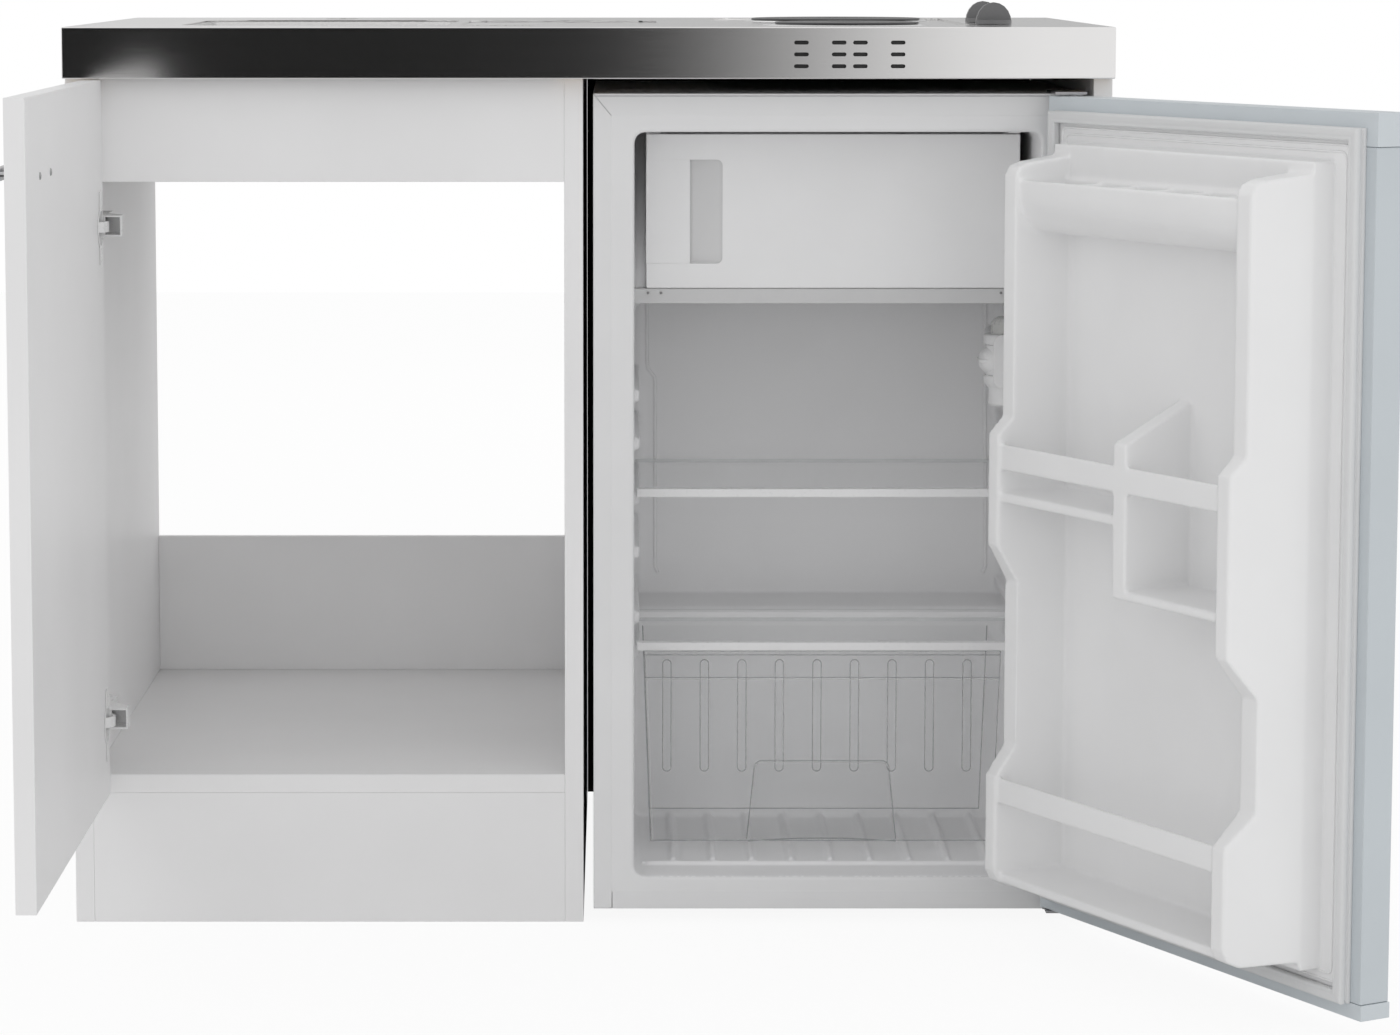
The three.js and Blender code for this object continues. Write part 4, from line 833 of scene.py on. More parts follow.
def lining_mesh(look):
    """The moulded lining: flange, walls with runners, the step and a ribbed floor."""
    face = COOLER_FRONT + SKIN
    reach, grow, trim = 0.02, 0.006, 0.004
    left, right, back = CAVITY_LEFT - reach, CAVITY_RIGHT + reach, CAVITY_BACK + reach
    low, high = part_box("fridge_liner")
    x0, x1, z0, z1 = low.x - grow, high.x + grow, low.z - grow, high.z + grow
    block = box_mesh("lining", x0, x1, face, high.y + 0.01, z0, z1)
    parts = [carved(block, cavity_mesh(face)), step_mesh(left, right, back)]
    parts += wall_runners(left, right, back, reach)
    parts += floor_ribs()
    parts.append(shoulder_mesh(left, CAVITY_LEFT + 0.0128, back, CAVITY_ROOF + reach))
    passes, faces_left = 3, 0.22
    mesh = moulded(joined("lining", parts), look.soft, passes, faces_left)

    def outside(f):
        """The block's own outer sides, which the body's sheet hides."""
        c = f.calc_center_median()
        across = x0 + trim < c.x < x1 - trim and z0 + trim < c.z < z1 - trim
        return not across or c.y > high.y + trim

    work = opened(mesh)
    bmesh.ops.delete(work, geom=[f for f in work.faces if outside(f)], context="FACES")
    stored(work, mesh)
    shade(mesh)
    return mesh


def ridge_beads():
    """The lining's raised lines: the rear panel's edges and the sill across the floor."""
    y = CAVITY_BACK - 0.0002
    left = [(0.0734, 0.5900), (0.0734, 0.5700), (0.0734, 0.5110), (0.0745, 0.5050)]
    left += [(0.0812, 0.4965), (0.0820, 0.4900), (0.0820, 0.2950), (0.0850, 0.2880)]
    right = [(0.4290, 0.5900), (0.4295, 0.4800), (0.4318, 0.2950), (0.4290, 0.2880)]
    paths = [[(x, y, z) for x, z in line] for line in (left, right)]
    sill, front = CAVITY_FLOOR + 0.0008, COOLER_FRONT + 0.053
    paths.append([(x, front, sill) for x in (CAVITY_LEFT + 0.008, CAVITY_RIGHT - 0.008)])
    return beads("ridges", paths, 0.0019)


def flap_mesh():
    """The freezer's flap, with its finger recess beside a flat plate."""
    low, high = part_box("freezer_flap")
    face = low.y
    flap = box_mesh("flap", low.x, high.x, face, high.y, low.z, high.z, 0.0013, 3)
    z0, z1 = high.z - 0.1268, high.z - 0.0248
    sides = (low.x - 0.002, RECESS_LEFT + 0.001)
    plate = box_mesh("plate", *sides, face - 0.002, face + 0.0016, z0, z1, 0.0004)
    deep, shallow = 0.0085, 0.002
    x0, x1, r = RECESS_LEFT, RECESS_RIGHT, 0.006
    outline = [(x0, z0), *arc((x1 - r, z0 + r), r, -90, 90, 6)]
    outline += [*arc((x1 - r, z1 - r), r, 0, 90, 6), (x0, z1)]
    rings = []
    for share, inset in ((-0.3, 0.0), (0.75, 0.0), (1.0, 0.0018)):
        ring = []
        for x, z in outline:
            depth = deep + (shallow - deep) * (x - x0) / (x1 - x0)
            level = min(max(z, z0 + inset), z1 - inset)
            ring.append((min(x, x1 - inset), face + depth * share, level))
        rings.append(ring)
    made = carved(flap, plate, skin("recess", rings))
    smooth(made, 30)
    return made


def tray_front_mesh():
    """The drip tray's leaning front, with the rounded corners under its ends."""
    low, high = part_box("drip_tray")
    top, foot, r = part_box("freezer_flap")[0].z - 0.0004, low.z, 0.0115
    thick, lean = 0.0066, 0.55
    left = arc((low.x + r, foot - r), r, 90, 90, 7)
    right = [(low.x + high.x - x, z) for x, z in left]
    outline = [(low.x, top), *reversed(left), *right, (high.x, top)]
    rings = [[(x, y, z) for x, z in outline] for y in (TRAY_FACE, TRAY_FACE + thick)]
    made = skin("tray_front", rings)
    work = opened(made)
    round_edges(work, 0.0007, 2, 40)
    stored(work, made)
    smooth(made)
    for v in made.vertices:
        v.co.y += lean * (top - v.co.z)
    return made


def tray_pins_mesh():
    """Three small fixing pins in the drip tray's front."""
    profile = [(0.0, 0.0), (0.0013, 0.0), (0.0013, 0.0008), (0.0008, 0.0011), (0.0, 0.0011)]
    pins = []
    for x in (0.0720, 0.0848, 0.4180):
        pin = turned("pin", profile, steps=12)
        spot = Matrix.Translation((x, TRAY_FACE, 0.6085))
        pin.transform(spot @ Matrix.Rotation(math.pi / 2, 4, "X"))
        pins.append(pin)
    return joined("pins", pins)


def drawer_mesh():
    """The clear drawer's thin walls, wider at the rim than at the foot."""
    low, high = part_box("crisper_drawer")
    rings = []
    for z, lean, radius in (
        (low.z, DRAWER_TAPER + 0.003, 0.003),
        (low.z + 0.0015, DRAWER_TAPER + 0.0008, 0.0045),
        (low.z + 0.004, DRAWER_TAPER, 0.005),
        (high.z - 0.0005, 0.0004, 0.005),
    ):
        front, back = DRAWER_FRONT + lean * 0.2, high.y - lean * 0.4
        flat = rounded_outline(low.x + lean, high.x - lean, front, back, radius, 4)
        rings.append([(x, y, z) for x, y in flat])
    verts, faces = loft(rings, capped=False)
    faces.append(tuple(reversed(range(len(rings[0])))))
    return mesh_of("drawer", verts, faces, 30)


def drawer_slots_mesh():
    """Raised outlines of the nine slots in the drawer's front."""
    first, pitch, r, foot, top = 0.0914, 0.0374, 0.0042, 0.1310, 0.2355
    paths = []
    for i in range(9):
        x = first + pitch * i
        slot = arc((x, top), r, 0, 180, 8) + arc((x, foot), r, 180, 180, 8)
        paths.append([(u, DRAWER_FRONT - 0.0002, v) for u, v in slot])
    return beads("drawer_slots", paths, 0.00055, True, 6)


def pull_mesh():
    """The drawer's hooded pull, open at its foot."""
    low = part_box("crisper_drawer")[0]
    foot, top, reach = low.z + 0.003, low.z + 0.0825, 0.0138
    half_top, half_foot, r = 0.0665, 0.0745, 0.005
    sections = []
    for share, inset in ((0.0, 0.0), (0.55, 0.0), (0.9, 0.001), (1.0, 0.0035)):
        y = DRAWER_FRONT - reach * share
        head = top - reach * 0.55 * share - inset
        half = arc((half_top - inset - r, head - r), r, 90, -90, 4)
        half.append((half_foot - inset, foot))
        outline = [(PULL_MIDDLE - x, y, z) for x, z in reversed(half)]
        sections.append(outline + [(PULL_MIDDLE + x, y, z) for x, z in half])
    count = len(sections[0])
    faces = []
    for start in range(0, (len(sections) - 1) * count, count):
        for a in range(start, start + count - 1):
            faces.append((a, a + 1, a + 1 + count, a + count))
    last = (len(sections) - 1) * count
    faces.append(tuple(range(last, last + count)))
    return mesh_of("pull", [p for section in sections for p in section], faces, 40)


def drawer_edges_meshes():
    """The drawer's corners and rims, where clear plastic looks denser, and bright beads painted
    beside them as glints.
    """
    low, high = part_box("crisper_drawer")
    y, back = DRAWER_FRONT - 0.0005, high.y - 0.001
    foot, top = low.z + 0.0012, high.z - 0.0006
    left, right = low.x + DRAWER_TAPER, high.x - DRAWER_TAPER
    corners = [
        (low.x + 0.0006, y, top),
        (left + 0.0006, y, foot),
        (right - 0.0006, y, foot),
        (high.x - 0.0006, y, top),
    ]
    rim = [(low.x + 0.001, y, 0.2216), (high.x - 0.001, y, 0.2216)]
    paths = [corners, [corners[0], corners[3]], rim]
    paths.append([(low.x + 0.0005, y, 0.2445), (high.x - 0.0005, y, 0.2445)])
    paths.append([(left, back, foot), (right, back, foot)])
    paths.append([(left, y, foot), (left, back, foot)])
    paths.append([(left, back, foot), (low.x, back, top)])
    paths.append([(right, back, foot), (high.x, back, top)])

    middle, z0 = PULL_MIDDLE, low.z
    half = [(0.0745, 0.003), (0.0672, 0.0765), (0.0655, 0.0800), (0.0620, 0.0822)]
    pull = [(middle - x, y - 0.001, z0 + z) for x, z in half]
    pull += [(middle + x, y - 0.001, z0 + z) for x, z in reversed(half)]
    shares = [-1 + i / 6 for i in range(13)]
    bow = [(middle + 0.0738 * t, y - 0.0125, z0 + 0.0062 - 0.003 * t * t) for t in shares]
    paths += [pull, bow]

    # Painted glints: bright beads beside a corner, under the pull's top and under the rim
    painted_glints = [[(x + 0.0015, y - 0.0002, z) for x, y, z in corners[:2]]]
    painted_glints.append([(x, y - 0.0004, z - 0.0014) for x, y, z in pull[1:-1]])
    painted_glints.append([(x, y - 0.0002, z - 0.0016) for x, y, z in rim])
    edges = beads("drawer_edges", paths, 0.0006, sides=6)
    return edges, beads("drawer_painted_glints", painted_glints, 0.0005, sides=6)


def thermostat_front():
    """The thermostat's round front, with its collars, dark beads of painted shade in their creases,
    and the fitting below.
    """
    low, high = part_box("thermostat_housing")
    r = 0.0195
    centre = (high.x - r - 0.0005, low.y + r)
    z0, z1 = low.z, high.z
    profile = [(0.0, z0), (r - 0.004, z0), (r - 0.0012, z0 + 0.0035), (r - 0.0002, z0 + 0.0085)]
    profile += [(r, z0 + 0.0105), (r - 0.0012, z0 + 0.0115), (r - 0.0026, z0 + 0.0120)]
    profile += [(r - 0.0026, z1 - 0.0110), (r - 0.0010, z1 - 0.0104), (r, z1 - 0.0090)]
    profile += [(r, z1 - 0.0020), (r - 0.0008, z1 - 0.0008), (r - 0.0022, z1), (0.0, z1)]
    collars = turned("thermostat_collars", profile, centre, 48)
    f = r - 0.0055
    profile = [(0.0, z0 - 0.0190), (f - 0.002, z0 - 0.0190), (f - 0.0004, z0 - 0.0176)]
    profile += [(f, z0 - 0.0160), (f, z0 - 0.0030), (f + 0.0012, z0 + 0.0004)]
    profile.append((0.0, z0 + 0.0004))
    fitting = turned("thermostat_fitting", profile, centre, 40)
    mesh = joined("thermostat_front", [collars, fitting])
    place("thermostat_front", mesh, "unit", "liner_plastic", "liner_plastic")
    # Painted shade: dark beads in the creases beside the two collars
    lines = [ring_path(centre, r - 0.0022, z) for z in (z0 + 0.0116, z1 - 0.0107)]
    mesh = beads("thermostat_shade_lines", lines, 0.0004, True, 6)
    place("thermostat_shade_lines", mesh, "unit", "liner_plastic", "pin_grey_and_painted_shade")
    return centre


def interior_lamp(centre):
    """The lamp's faceted glass behind the thermostat's front, and bright beads painted on it as
    glints.
    """
    low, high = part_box("interior_lamp")
    g, foot, top = 0.0128, low.z, high.z
    neck, waist, tip = (g - 0.0006, 0.0120), (g - 0.0030, 0.0148), (g - 0.0060, top - 0.0006)
    profile = [(0.0, foot), (g, foot), (g + 0.0006, foot + 0.0030), (g + 0.0006, foot + 0.0080)]
    profile += [(r, foot + z) for r, z in (neck, waist)]
    profile += [tip, (0.0, top)]
    spot = (centre[0] + 0.001, (low.y + high.y) / 2)
    glass = turned("lamp_glass", profile, spot, 14)
    shade(glass, False)
    place("lamp_glass", glass, "unit", "lamp_glass", "lamp_glass", ("interior_lamp",))
    # Painted glints: short bright beads down the glass's facets
    painted_glints = []
    for turn in (190, 215, 240, 265, 290):
        x, y = math.cos(math.radians(turn)), math.sin(math.radians(turn))
        facet = ((g + 0.0002, 0.0095), neck, waist)
        painted_glints.append([(spot[0] + a * x, spot[1] + a * y, foot + b) for a, b in facet])
    mesh = beads("lamp_painted_glints", painted_glints, 0.0005, sides=6)
    place("lamp_painted_glints", mesh, "unit", "lamp_glass", "clear_painted_glint")


def thermostat_dial():
    """The thermostat's domed dial, with a grip rib across it, and a dark ring painted round its
    foot as its shadow.
    """
    low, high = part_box("thermostat_dial")
    y, z = (low.y + high.y) / 2, (low.z + high.z) / 2
    r = 0.0162
    depth = high.x - low.x + 0.0045
    profile = [(0.0, 0.0), (r - 0.0010, 0.0), (r, 0.0010), (r, 0.0030)]
    profile += [(r - 0.0008, 0.0046), (r - 0.0030, depth * 0.62), (r - 0.0062, depth * 0.82)]
    profile += [(r - 0.0100, depth * 0.95), (0.0, depth)]
    rib = box_mesh("rib", -0.0016, 0.0016, -r + 0.0030, r - 0.0030, 0.0020, depth, 0.0008)
    mesh = joined("dial", [turned("dial", profile, steps=48), rib])
    facing_left = Matrix.Rotation(-math.pi / 2, 4, "Y")
    mesh.transform(Matrix.Translation((high.x, y, z)) @ facing_left)
    smooth(mesh, 30)
    plastic = "liner_plastic"
    name = "thermostat_dial_domed"
    place(name, mesh, "thermostat_dial", plastic, plastic, ("thermostat_dial",))
    # Painted shadow: a dark ring on the unit where the dial stands
    seat = [(x, y, z) for z, y, x in ring_path((z, y), r + SKIN, high.x - SKIN)]
    mesh = beads("dial_shadow_ring", [seat], 0.0004, True, 6)
    place("dial_shadow_ring", mesh, "unit", "liner_plastic", "pin_grey_and_painted_shade")


def seal_mesh():
    """The magnetic seal: a grooved strip that runs round the door, mitred at the corners."""
    x0, x1, z0, z1 = -0.4470, 0.0046, 0.0332, 0.7918
    base, unit = 0.0156, 0.001
    section = [(0.0, 0.0), (11.5, 0.0), (11.5, 2.2), (9.8, 3.0), (9.8, 4.6), (11.2, 5.6)]
    section += [(11.2, 10.4), (10.4, 11.5), (8.9, 11.9), (7.9, 11.5), (7.1, 11.5), (6.1, 11.9)]
    section += [(2.2, 11.9), (0.9, 11.3), (0.3, 10.2), (0.3, 6.2), (2.0, 5.2), (2.0, 3.8)]
    section += [(0.0, 2.6)]
    rings = []
    for x, z, ix, iz in ((x0, z0, 1, 1), (x1, z0, -1, 1), (x1, z1, -1, -1), (x0, z1, 1, -1)):
        rings.append([(x + ix * u * unit, base + v * unit, z + iz * u * unit) for u, v in section])
    return in_cooler_door(skin("seal", rings, 40, closed=True))


def door_flange_mesh():
    """The plate under the door lining's flange, with two fine beads moulded round it."""
    left, right, foot, head = -0.4602, 0.0178, 0.020, 0.805
    under, face, top = 0.0159, 0.0193, 0.0195

    def sides(inset):
        return (left + inset, right - inset), (foot + inset, head - inset)

    across, up = sides(0.024)
    plate = box_mesh("plate", *across, under, face, *up, 0.0008, 3)
    paths = []
    for inset in (0.0285, 0.0345):
        across, up = sides(inset)
        paths.append([(x, top, z) for x, z in rounded_outline(*across, *up, 0.006, 4)])
    lines = beads("flange_beads", paths, 0.0011, True)
    return in_cooler_door(joined("door_flange", [plate, lines]))


def door_lining_mesh(look):
    """The door's moulded lining with its racks, and saddles between its egg cups."""
    first, pitch, half = 0.056, 0.0533, 0.0045
    back, front, foot, top = 0.040, 0.094, 0.700, 0.7285
    parts = [as_mesh(solid_copy("door_liner"), "door_lining")]
    for i in range(1, 6):
        x = -(first + i * pitch)
        saddle = box_mesh("saddle", x - half, x + half, back, front, foot, top, 0.002)
        parts.append(in_cooler_door(saddle))
    return moulded(joined("door_lining", parts), look.soft, look.rounds)


# ------------------------------------------------------------------------ operators


class Maker:
    """What the operators have in common."""

    bl_options = {"REGISTER", "UNDO"}


class KITCHENETTE_OT_finishes(Maker, bpy.types.Operator):
    """Make the shader groups and the materials"""

    bl_idname = "kitchenette.finishes"
    bl_label = "Finishes"

    def execute(self, context):
        make_finishes(context)
        return {"FINISHED"}


class KITCHENETTE_OT_carcass(Maker, bpy.types.Operator):
    """Make the panels, rails, plinth, back board and battens"""

    bl_idname = "kitchenette.carcass"
    bl_label = "Carcass"

    def execute(self, context):
        edge = context.scene.board_look.edge
        panels = ("side_panel_left", "side_panel_middle", "end_panel_right", "cabinet_floor")
        for node in (*panels, "plinth", "front_rail", "back_rail", "back_strip"):
            dressed(node, "unit", "white_board", "white_board", edge)
        dressed("niche_back", "unit", "dark_board", "dark_board", edge)
        for node in ("batten_left", "batten_middle", "batten_right"):
            dressed(node, "unit", "raw_wood", "raw_wood", edge)
        return {"FINISHED"}


class KITCHENETTE_OT_steel_top(Maker, bpy.types.Operator):
    """Make the pressed steel top with its drainer, flutes and vents, and a black sheet of painted
    shade behind the vents
    """

    bl_idname = "kitchenette.steel_top"
    bl_label = "Steel top"

    def execute(self, context):
        edge = context.scene.steel_look.edge
        low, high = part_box("steel_top")

        def near(value, *levels):
            return min(abs(value - level) for level in levels) < 1e-5

        def fold(crease):
            """The top's outer edges and the four upright folds at its corners."""
            sides = [near(v.co.x, low.x, high.x) for v in crease.verts]
            ends = [near(v.co.y, low.y, high.y) for v in crease.verts]
            level = all(near(v.co.z, high.z) for v in crease.verts)
            outer = level and all(a or b for a, b in zip(sides, ends))
            upright = all(sides) and all(ends)
            return outer or upright

        dressed("steel_top", "unit", "top_steel", "top_steel", edge, 3, keep=fold)
        # Painted shade: a black sheet just behind the lip's vents, for the dark inside of the
        # hollow top
        left, right, foot, head = 0.203, 0.322, 0.828, 0.862
        face, back = low.y + 0.0022, low.y + 0.0032
        shade_sheet = box_mesh("shade_sheet", left, right, face, back, foot, head, 0.0003)
        place("vent_shade_sheet", shade_sheet, "unit", "pan_steel", "foot_plastic")
        return {"FINISHED"}


class KITCHENETTE_OT_sink(Maker, bpy.types.Operator):
    """Make the bowl, the waste and the strainer plug"""

    bl_idname = "kitchenette.sink"
    bl_label = "Sink"

    def execute(self, context):
        look = context.scene.steel_look
        name = "sink_bowl_pressed"
        mesh = skin(name, bowl_rings(look), 60, capped=False)
        piece = place(name, mesh, "unit", "sink_steel", "sink_steel", ("sink_bowl",))
        modify(piece, "sheet", "SOLIDIFY", thickness=look.sheet, offset=-1.0)
        settle(piece)
        dressed("sink_waste", "unit", "sink_steel", "bright_steel", 0.0005)
        dressed("sink_strainer", "strainer", "sink_steel", "bright_steel", 0.0004)
        return {"FINISHED"}


class KITCHENETTE_OT_hob(Maker, bpy.types.Operator):
    """Make the hotplates, their trim rings, the pan and the switches"""

    bl_idname = "kitchenette.hob"
    bl_label = "Hob"

    def execute(self, context):
        for name in ("front", "rear"):
            node, ring = "hotplate_" + name, "trim_ring_" + name
            low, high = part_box(node)
            ring_low, ring_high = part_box(ring)
            centre = ((low.x + high.x) / 2, (low.y + high.y) / 2)
            radius = (high.x - low.x) / 2
            profile = hotplate_profile(radius, low.z, high.z, ring_high.z)
            mesh = turned(node + "_cast", profile, centre, 96)
            place(node + "_cast", mesh, "unit", "plate_iron", "plate_iron", (node,))

            outer = (ring_high.x - ring_low.x) / 2
            profile = trim_profile(radius - 0.0057, outer, ring_low.z, ring_high.z)
            mesh = turned(ring + "_rolled", profile, centre, 96)
            place(ring + "_rolled", mesh, "unit", "ring_steel", "bright_steel", (ring,))
            dressed("switch_" + name, "unit", "switch_plastic", "switch_plastic", 0.0012)
        dressed("hob_pan", "unit", "pan_steel", "pan_zinc", 0.0004)
        return {"FINISHED"}


class KITCHENETTE_OT_knobs(Maker, bpy.types.Operator):
    """Make the two control knobs"""

    bl_idname = "kitchenette.knobs"
    bl_label = "Knobs"

    def execute(self, context):
        for node in ("knob_front", "knob_rear"):
            dressed(node, node, "knob_plastic", "knob_plastic", 0.0008, 3)
        return {"FINISHED"}


class KITCHENETTE_OT_cabinet_door(Maker, bpy.types.Operator):
    """Make the cabinet door and its bow handle"""

    bl_idname = "kitchenette.cabinet_door"
    bl_label = "Cabinet door"

    def execute(self, context):
        edge = context.scene.board_look.edge
        dressed("cabinet_door", "cabinet_door", "white_board", "white_board", edge, 3)
        dressed("cabinet_handle", "cabinet_door", "handle_steel", "handle_satin", 0.0016, 3)
        low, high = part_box("cabinet_handle")
        inner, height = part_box("cabinet_door")[1].x, (low.z + high.z) / 2
        head = [(0.0, -0.0006), (0.0034, -0.0006), (0.0034, 0.0004), (0.0026, 0.0011)]
        head += [(0.0010, 0.0013), (0.0008, 0.0006), (0.0, 0.0006)]
        screws = []
        for y in (low.y + 0.009, high.y - 0.009):
            screw = turned("screw", head, steps=20)
            facing_right = Matrix.Rotation(math.pi / 2, 4, "Y")
            screw.transform(Matrix.Translation((inner, y, height)) @ facing_right)
            screws.append(screw)
        mesh = joined("handle_screws", screws)
        place("handle_screws", mesh, "cabinet_door", "handle_steel", "handle_satin")
        return {"FINISHED"}


class KITCHENETTE_OT_hinges(Maker, bpy.types.Operator):
    """Make the concealed hinges of the cabinet door"""

    bl_idname = "kitchenette.hinges"
    bl_label = "Concealed hinges"

    def execute(self, context):
        bodies = {"plate": "unit", "arm": "unit", "link": "hinge_links", "cup": "cabinet_door"}
        for name in ("upper", "lower"):
            for part, body in bodies.items():
                dressed(f"hinge_{part}_{name}", body, "hinge_zinc", "hinge_plating", 0.0004)
        return {"FINISHED"}


class KITCHENETTE_OT_cooler_body(Maker, bpy.types.Operator):
    """Make the refrigerator's body, feet and compressor"""

    bl_idname = "kitchenette.cooler_body"
    bl_label = "Refrigerator body"

    def execute(self, context):
        edge = context.scene.cooler_look.edge
        body = dressed("fridge_body", "unit", "cooler_white", "cooler_sheet", edge)
        settle(body)
        body.data = carved(body.data.copy(), *frame_joints(*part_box("fridge_body")))
        body.data.materials.clear()
        body.data.materials.append(FINISHES["cooler_sheet"])
        smooth(body.data)
        even_normals(body)
        for end in ("front", "rear"):
            for side in ("left", "right"):
                node = f"fridge_foot_{end}_{side}"
                dressed(node, "unit", "foot_plastic", "foot_plastic", 0.0012)
        dressed("compressor", "unit", "motor_black", "motor_enamel", 0.0012, over=40)
        return {"FINISHED"}


class KITCHENETTE_OT_cooler_inside(Maker, bpy.types.Operator):
    """Make the lining, freezer, shelves, drawer and thermostat"""

    bl_idname = "kitchenette.cooler_inside"
    bl_label = "Refrigerator inside"

    def execute(self, context):
        self.lining(context.scene.cooler_look)
        self.freezer()
        self.shelves()
        self.drawer()
        dressed("thermostat_housing", "unit", "liner_plastic", "liner_plastic", 0.004, 4)
        interior_lamp(thermostat_front())
        thermostat_dial()
        return {"FINISHED"}

    def lining(self, look):
        """The moulded lining, whose flange is greyer, and its raised lines."""
        plastic = ("liner_plastic", "lining_plastic")
        piece = place("cooler_lining", lining_mesh(look), "unit", *plastic, ("fridge_liner",))
        piece.data.materials.append(FINISHES["flange_plastic"])
        for f in piece.data.polygons:
            if f.center.y < COOLER_FRONT + 0.0025:
                f.material_index = 1
        place("lining_ridges", ridge_beads(), "unit", *plastic)

    def freezer(self):
        """The freezer box, its flap whose recess is painted darker as shade, and the drip tray
        below, painted darker as the shade under the flap.
        """
        plastic = "freezer_plastic"
        dressed("freezer_box", "unit", plastic, plastic, 0.0012)
        name = "freezer_flap_moulded"
        flap = place(name, flap_mesh(), "freezer_flap", plastic, plastic, ("freezer_flap",))
        even_normals(flap)
        low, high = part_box("freezer_flap")
        # Painted shade: the faces inside the recess take the darker plastic
        flap.data.materials.append(FINISHES["recess_painted_shade"])
        for f in flap.data.polygons:
            inside = low.y + SKIN < f.center.y < high.y - SKIN
            if inside and RECESS_LEFT < f.center.x < RECESS_RIGHT:
                f.material_index = 1
        # Painted shade: the tray and its leaning front take the darker plastic
        dressed("drip_tray", "unit", plastic, "tray_painted_shade", 0.0009)
        front = place("drip_tray_front", tray_front_mesh(), "unit", plastic, "tray_painted_shade")
        even_normals(front)
        place("drip_tray_pins", tray_pins_mesh(), "unit", plastic, "pin_grey_and_painted_shade")

    def shelves(self):
        """The glass shelves, with denser edges, and their trims."""
        for name in ("upper", "lower"):
            pane = dressed("shelf_glass_" + name, "unit", "shelf_glass", "shelf_glass", 0.0005)
            settle(pane)
            pane.data.materials.clear()
            pane.data.materials.append(FINISHES["shelf_glass"])
            pane.data.materials.append(FINISHES["glass_edge"])
            for f in pane.data.polygons:
                f.material_index = 0 if abs(f.normal.z) > 0.8 else 1
            dressed("shelf_trim_" + name, "unit", "liner_plastic", "shelf_edge", 0.0012, 3)

    def drawer(self):
        """The clear drawer, with its slots, pull, edges and painted glints."""
        clear = ("crisper", "clear_plastic")
        place("crisper_walls", drawer_mesh(), *clear, "clear_plastic", ("crisper_drawer",))
        place("crisper_slots", drawer_slots_mesh(), *clear, "clear_edge")
        place("crisper_pull", pull_mesh(), *clear, "clear_plastic")
        edges, painted_glints = drawer_edges_meshes()
        place("crisper_edges", edges, *clear, "clear_edge")
        # Painted glints on the drawer
        place("crisper_painted_glints", painted_glints, *clear, "clear_painted_glint")


class KITCHENETTE_OT_cooler_door(Maker, bpy.types.Operator):
    """Make the refrigerator's door, caps, seal, lining and brackets"""

    bl_idname = "kitchenette.cooler_door"
    bl_label = "Refrigerator door"

    def execute(self, context):
        look = context.scene.cooler_look
        door, plastic = "refrigerator_door", "liner_plastic"
        dressed("fridge_door", door, "door_grey", "door_sheet", look.edge)
        dressed("door_cap_upper", door, "cap_plastic", "door_cap", 0.0016, 3)
        dressed("door_cap_lower", door, "cap_plastic", "door_cap", 0.0016, 3)
        rubber = "seal_rubber"
        seal = place("door_seal", seal_mesh(), door, rubber, rubber, ("door_gasket",))
        modify(seal, "round", "BEVEL", width=0.0004, segments=2)
        settle(seal)
        smooth(seal.data, 50)
        mesh = door_lining_mesh(look)
        place("door_lining", mesh, door, plastic, plastic, ("door_liner",))
        place("door_flange", door_flange_mesh(), door, plastic, plastic)
        for name in ("upper", "lower"):
            dressed("door_bracket_" + name, "unit", "bracket_dark", "bracket_steel", 0.0004)
        return {"FINISHED"}


class KITCHENETTE_OT_studio(Maker, bpy.types.Operator):
    """Make the floor, the light and the camera"""

    bl_idname = "kitchenette.studio"
    bl_label = "Studio"

    def execute(self, context):
        look = context.scene.studio_look
        make_floor(look)
        make_dark_card()
        make_grey_card()
        make_sky(context, look)
        middle = (0.05, -0.1, 0.45)
        lamp("key", look.key, (2.6, 2.0), (-1.6, -3.6, 2.6), middle)
        lamp("fill", look.fill, (2.4, 1.9), (2.4, -3.0, 1.1), (0.1, -0.2, 0.4))
        lamp("front", look.front, (4.2, 1.8), (0.1, -6.0, 0.95), middle)
        lamp("back", look.back, (3.6, 2.2), (2.0, 4.2, 1.3), middle)
        make_camera(context)
        return {"FINISHED"}


# --------------------------------------------------------------------------- studio


def stage_sheet(name, corners, material):
    """A flat sheet of the stage, from its four corners."""
    mesh = bpy.data.meshes.new(name)
    mesh.from_pydata(corners, [], [(0, 1, 2, 3)])
    mesh.materials.append(material)
    piece = into_scene(name, mesh)
    return piece


def make_floor(look):
    """A pale floor that looks white and keeps a soft shadow."""
    material, tree, out = new_material("studio_floor")
    matt = add(tree, "BsdfDiffuse", Color=(*look.floor, 1.0))
    glow = add(tree, "Emission", Color=WHITE)
    seen = maths(tree, "MULTIPLY")
    seen.inputs[1].default_value = 0.92
    mix = add(tree, "MixShader")
    link(add(tree, "LightPath"), "Is Camera Ray", seen, 0)
    link(seen, "Value", mix, "Fac")
    link(matt, "BSDF", mix, 1)
    link(glow, "Emission", mix, 2)
    link(mix, "Shader", out, "Surface")
    half, level = 7.0, -0.0005
    corners = [(-half, -half), (half, -half), (half, half), (-half, half)]
    stage_sheet("studio_floor", [(x, y, level) for x, y in corners], material)


def upright_card(name, left, right, y, foot, head, material):
    """An upright sheet that only glossy surfaces see."""
    corners = [(left, y, foot), (right, y, foot), (right, y, head), (left, y, head)]
    card = stage_sheet(name, corners, material)
    card.visible_camera = False
    card.visible_diffuse = False
    card.visible_shadow = False
    card.visible_transmission = False
    card.visible_volume_scatter = False


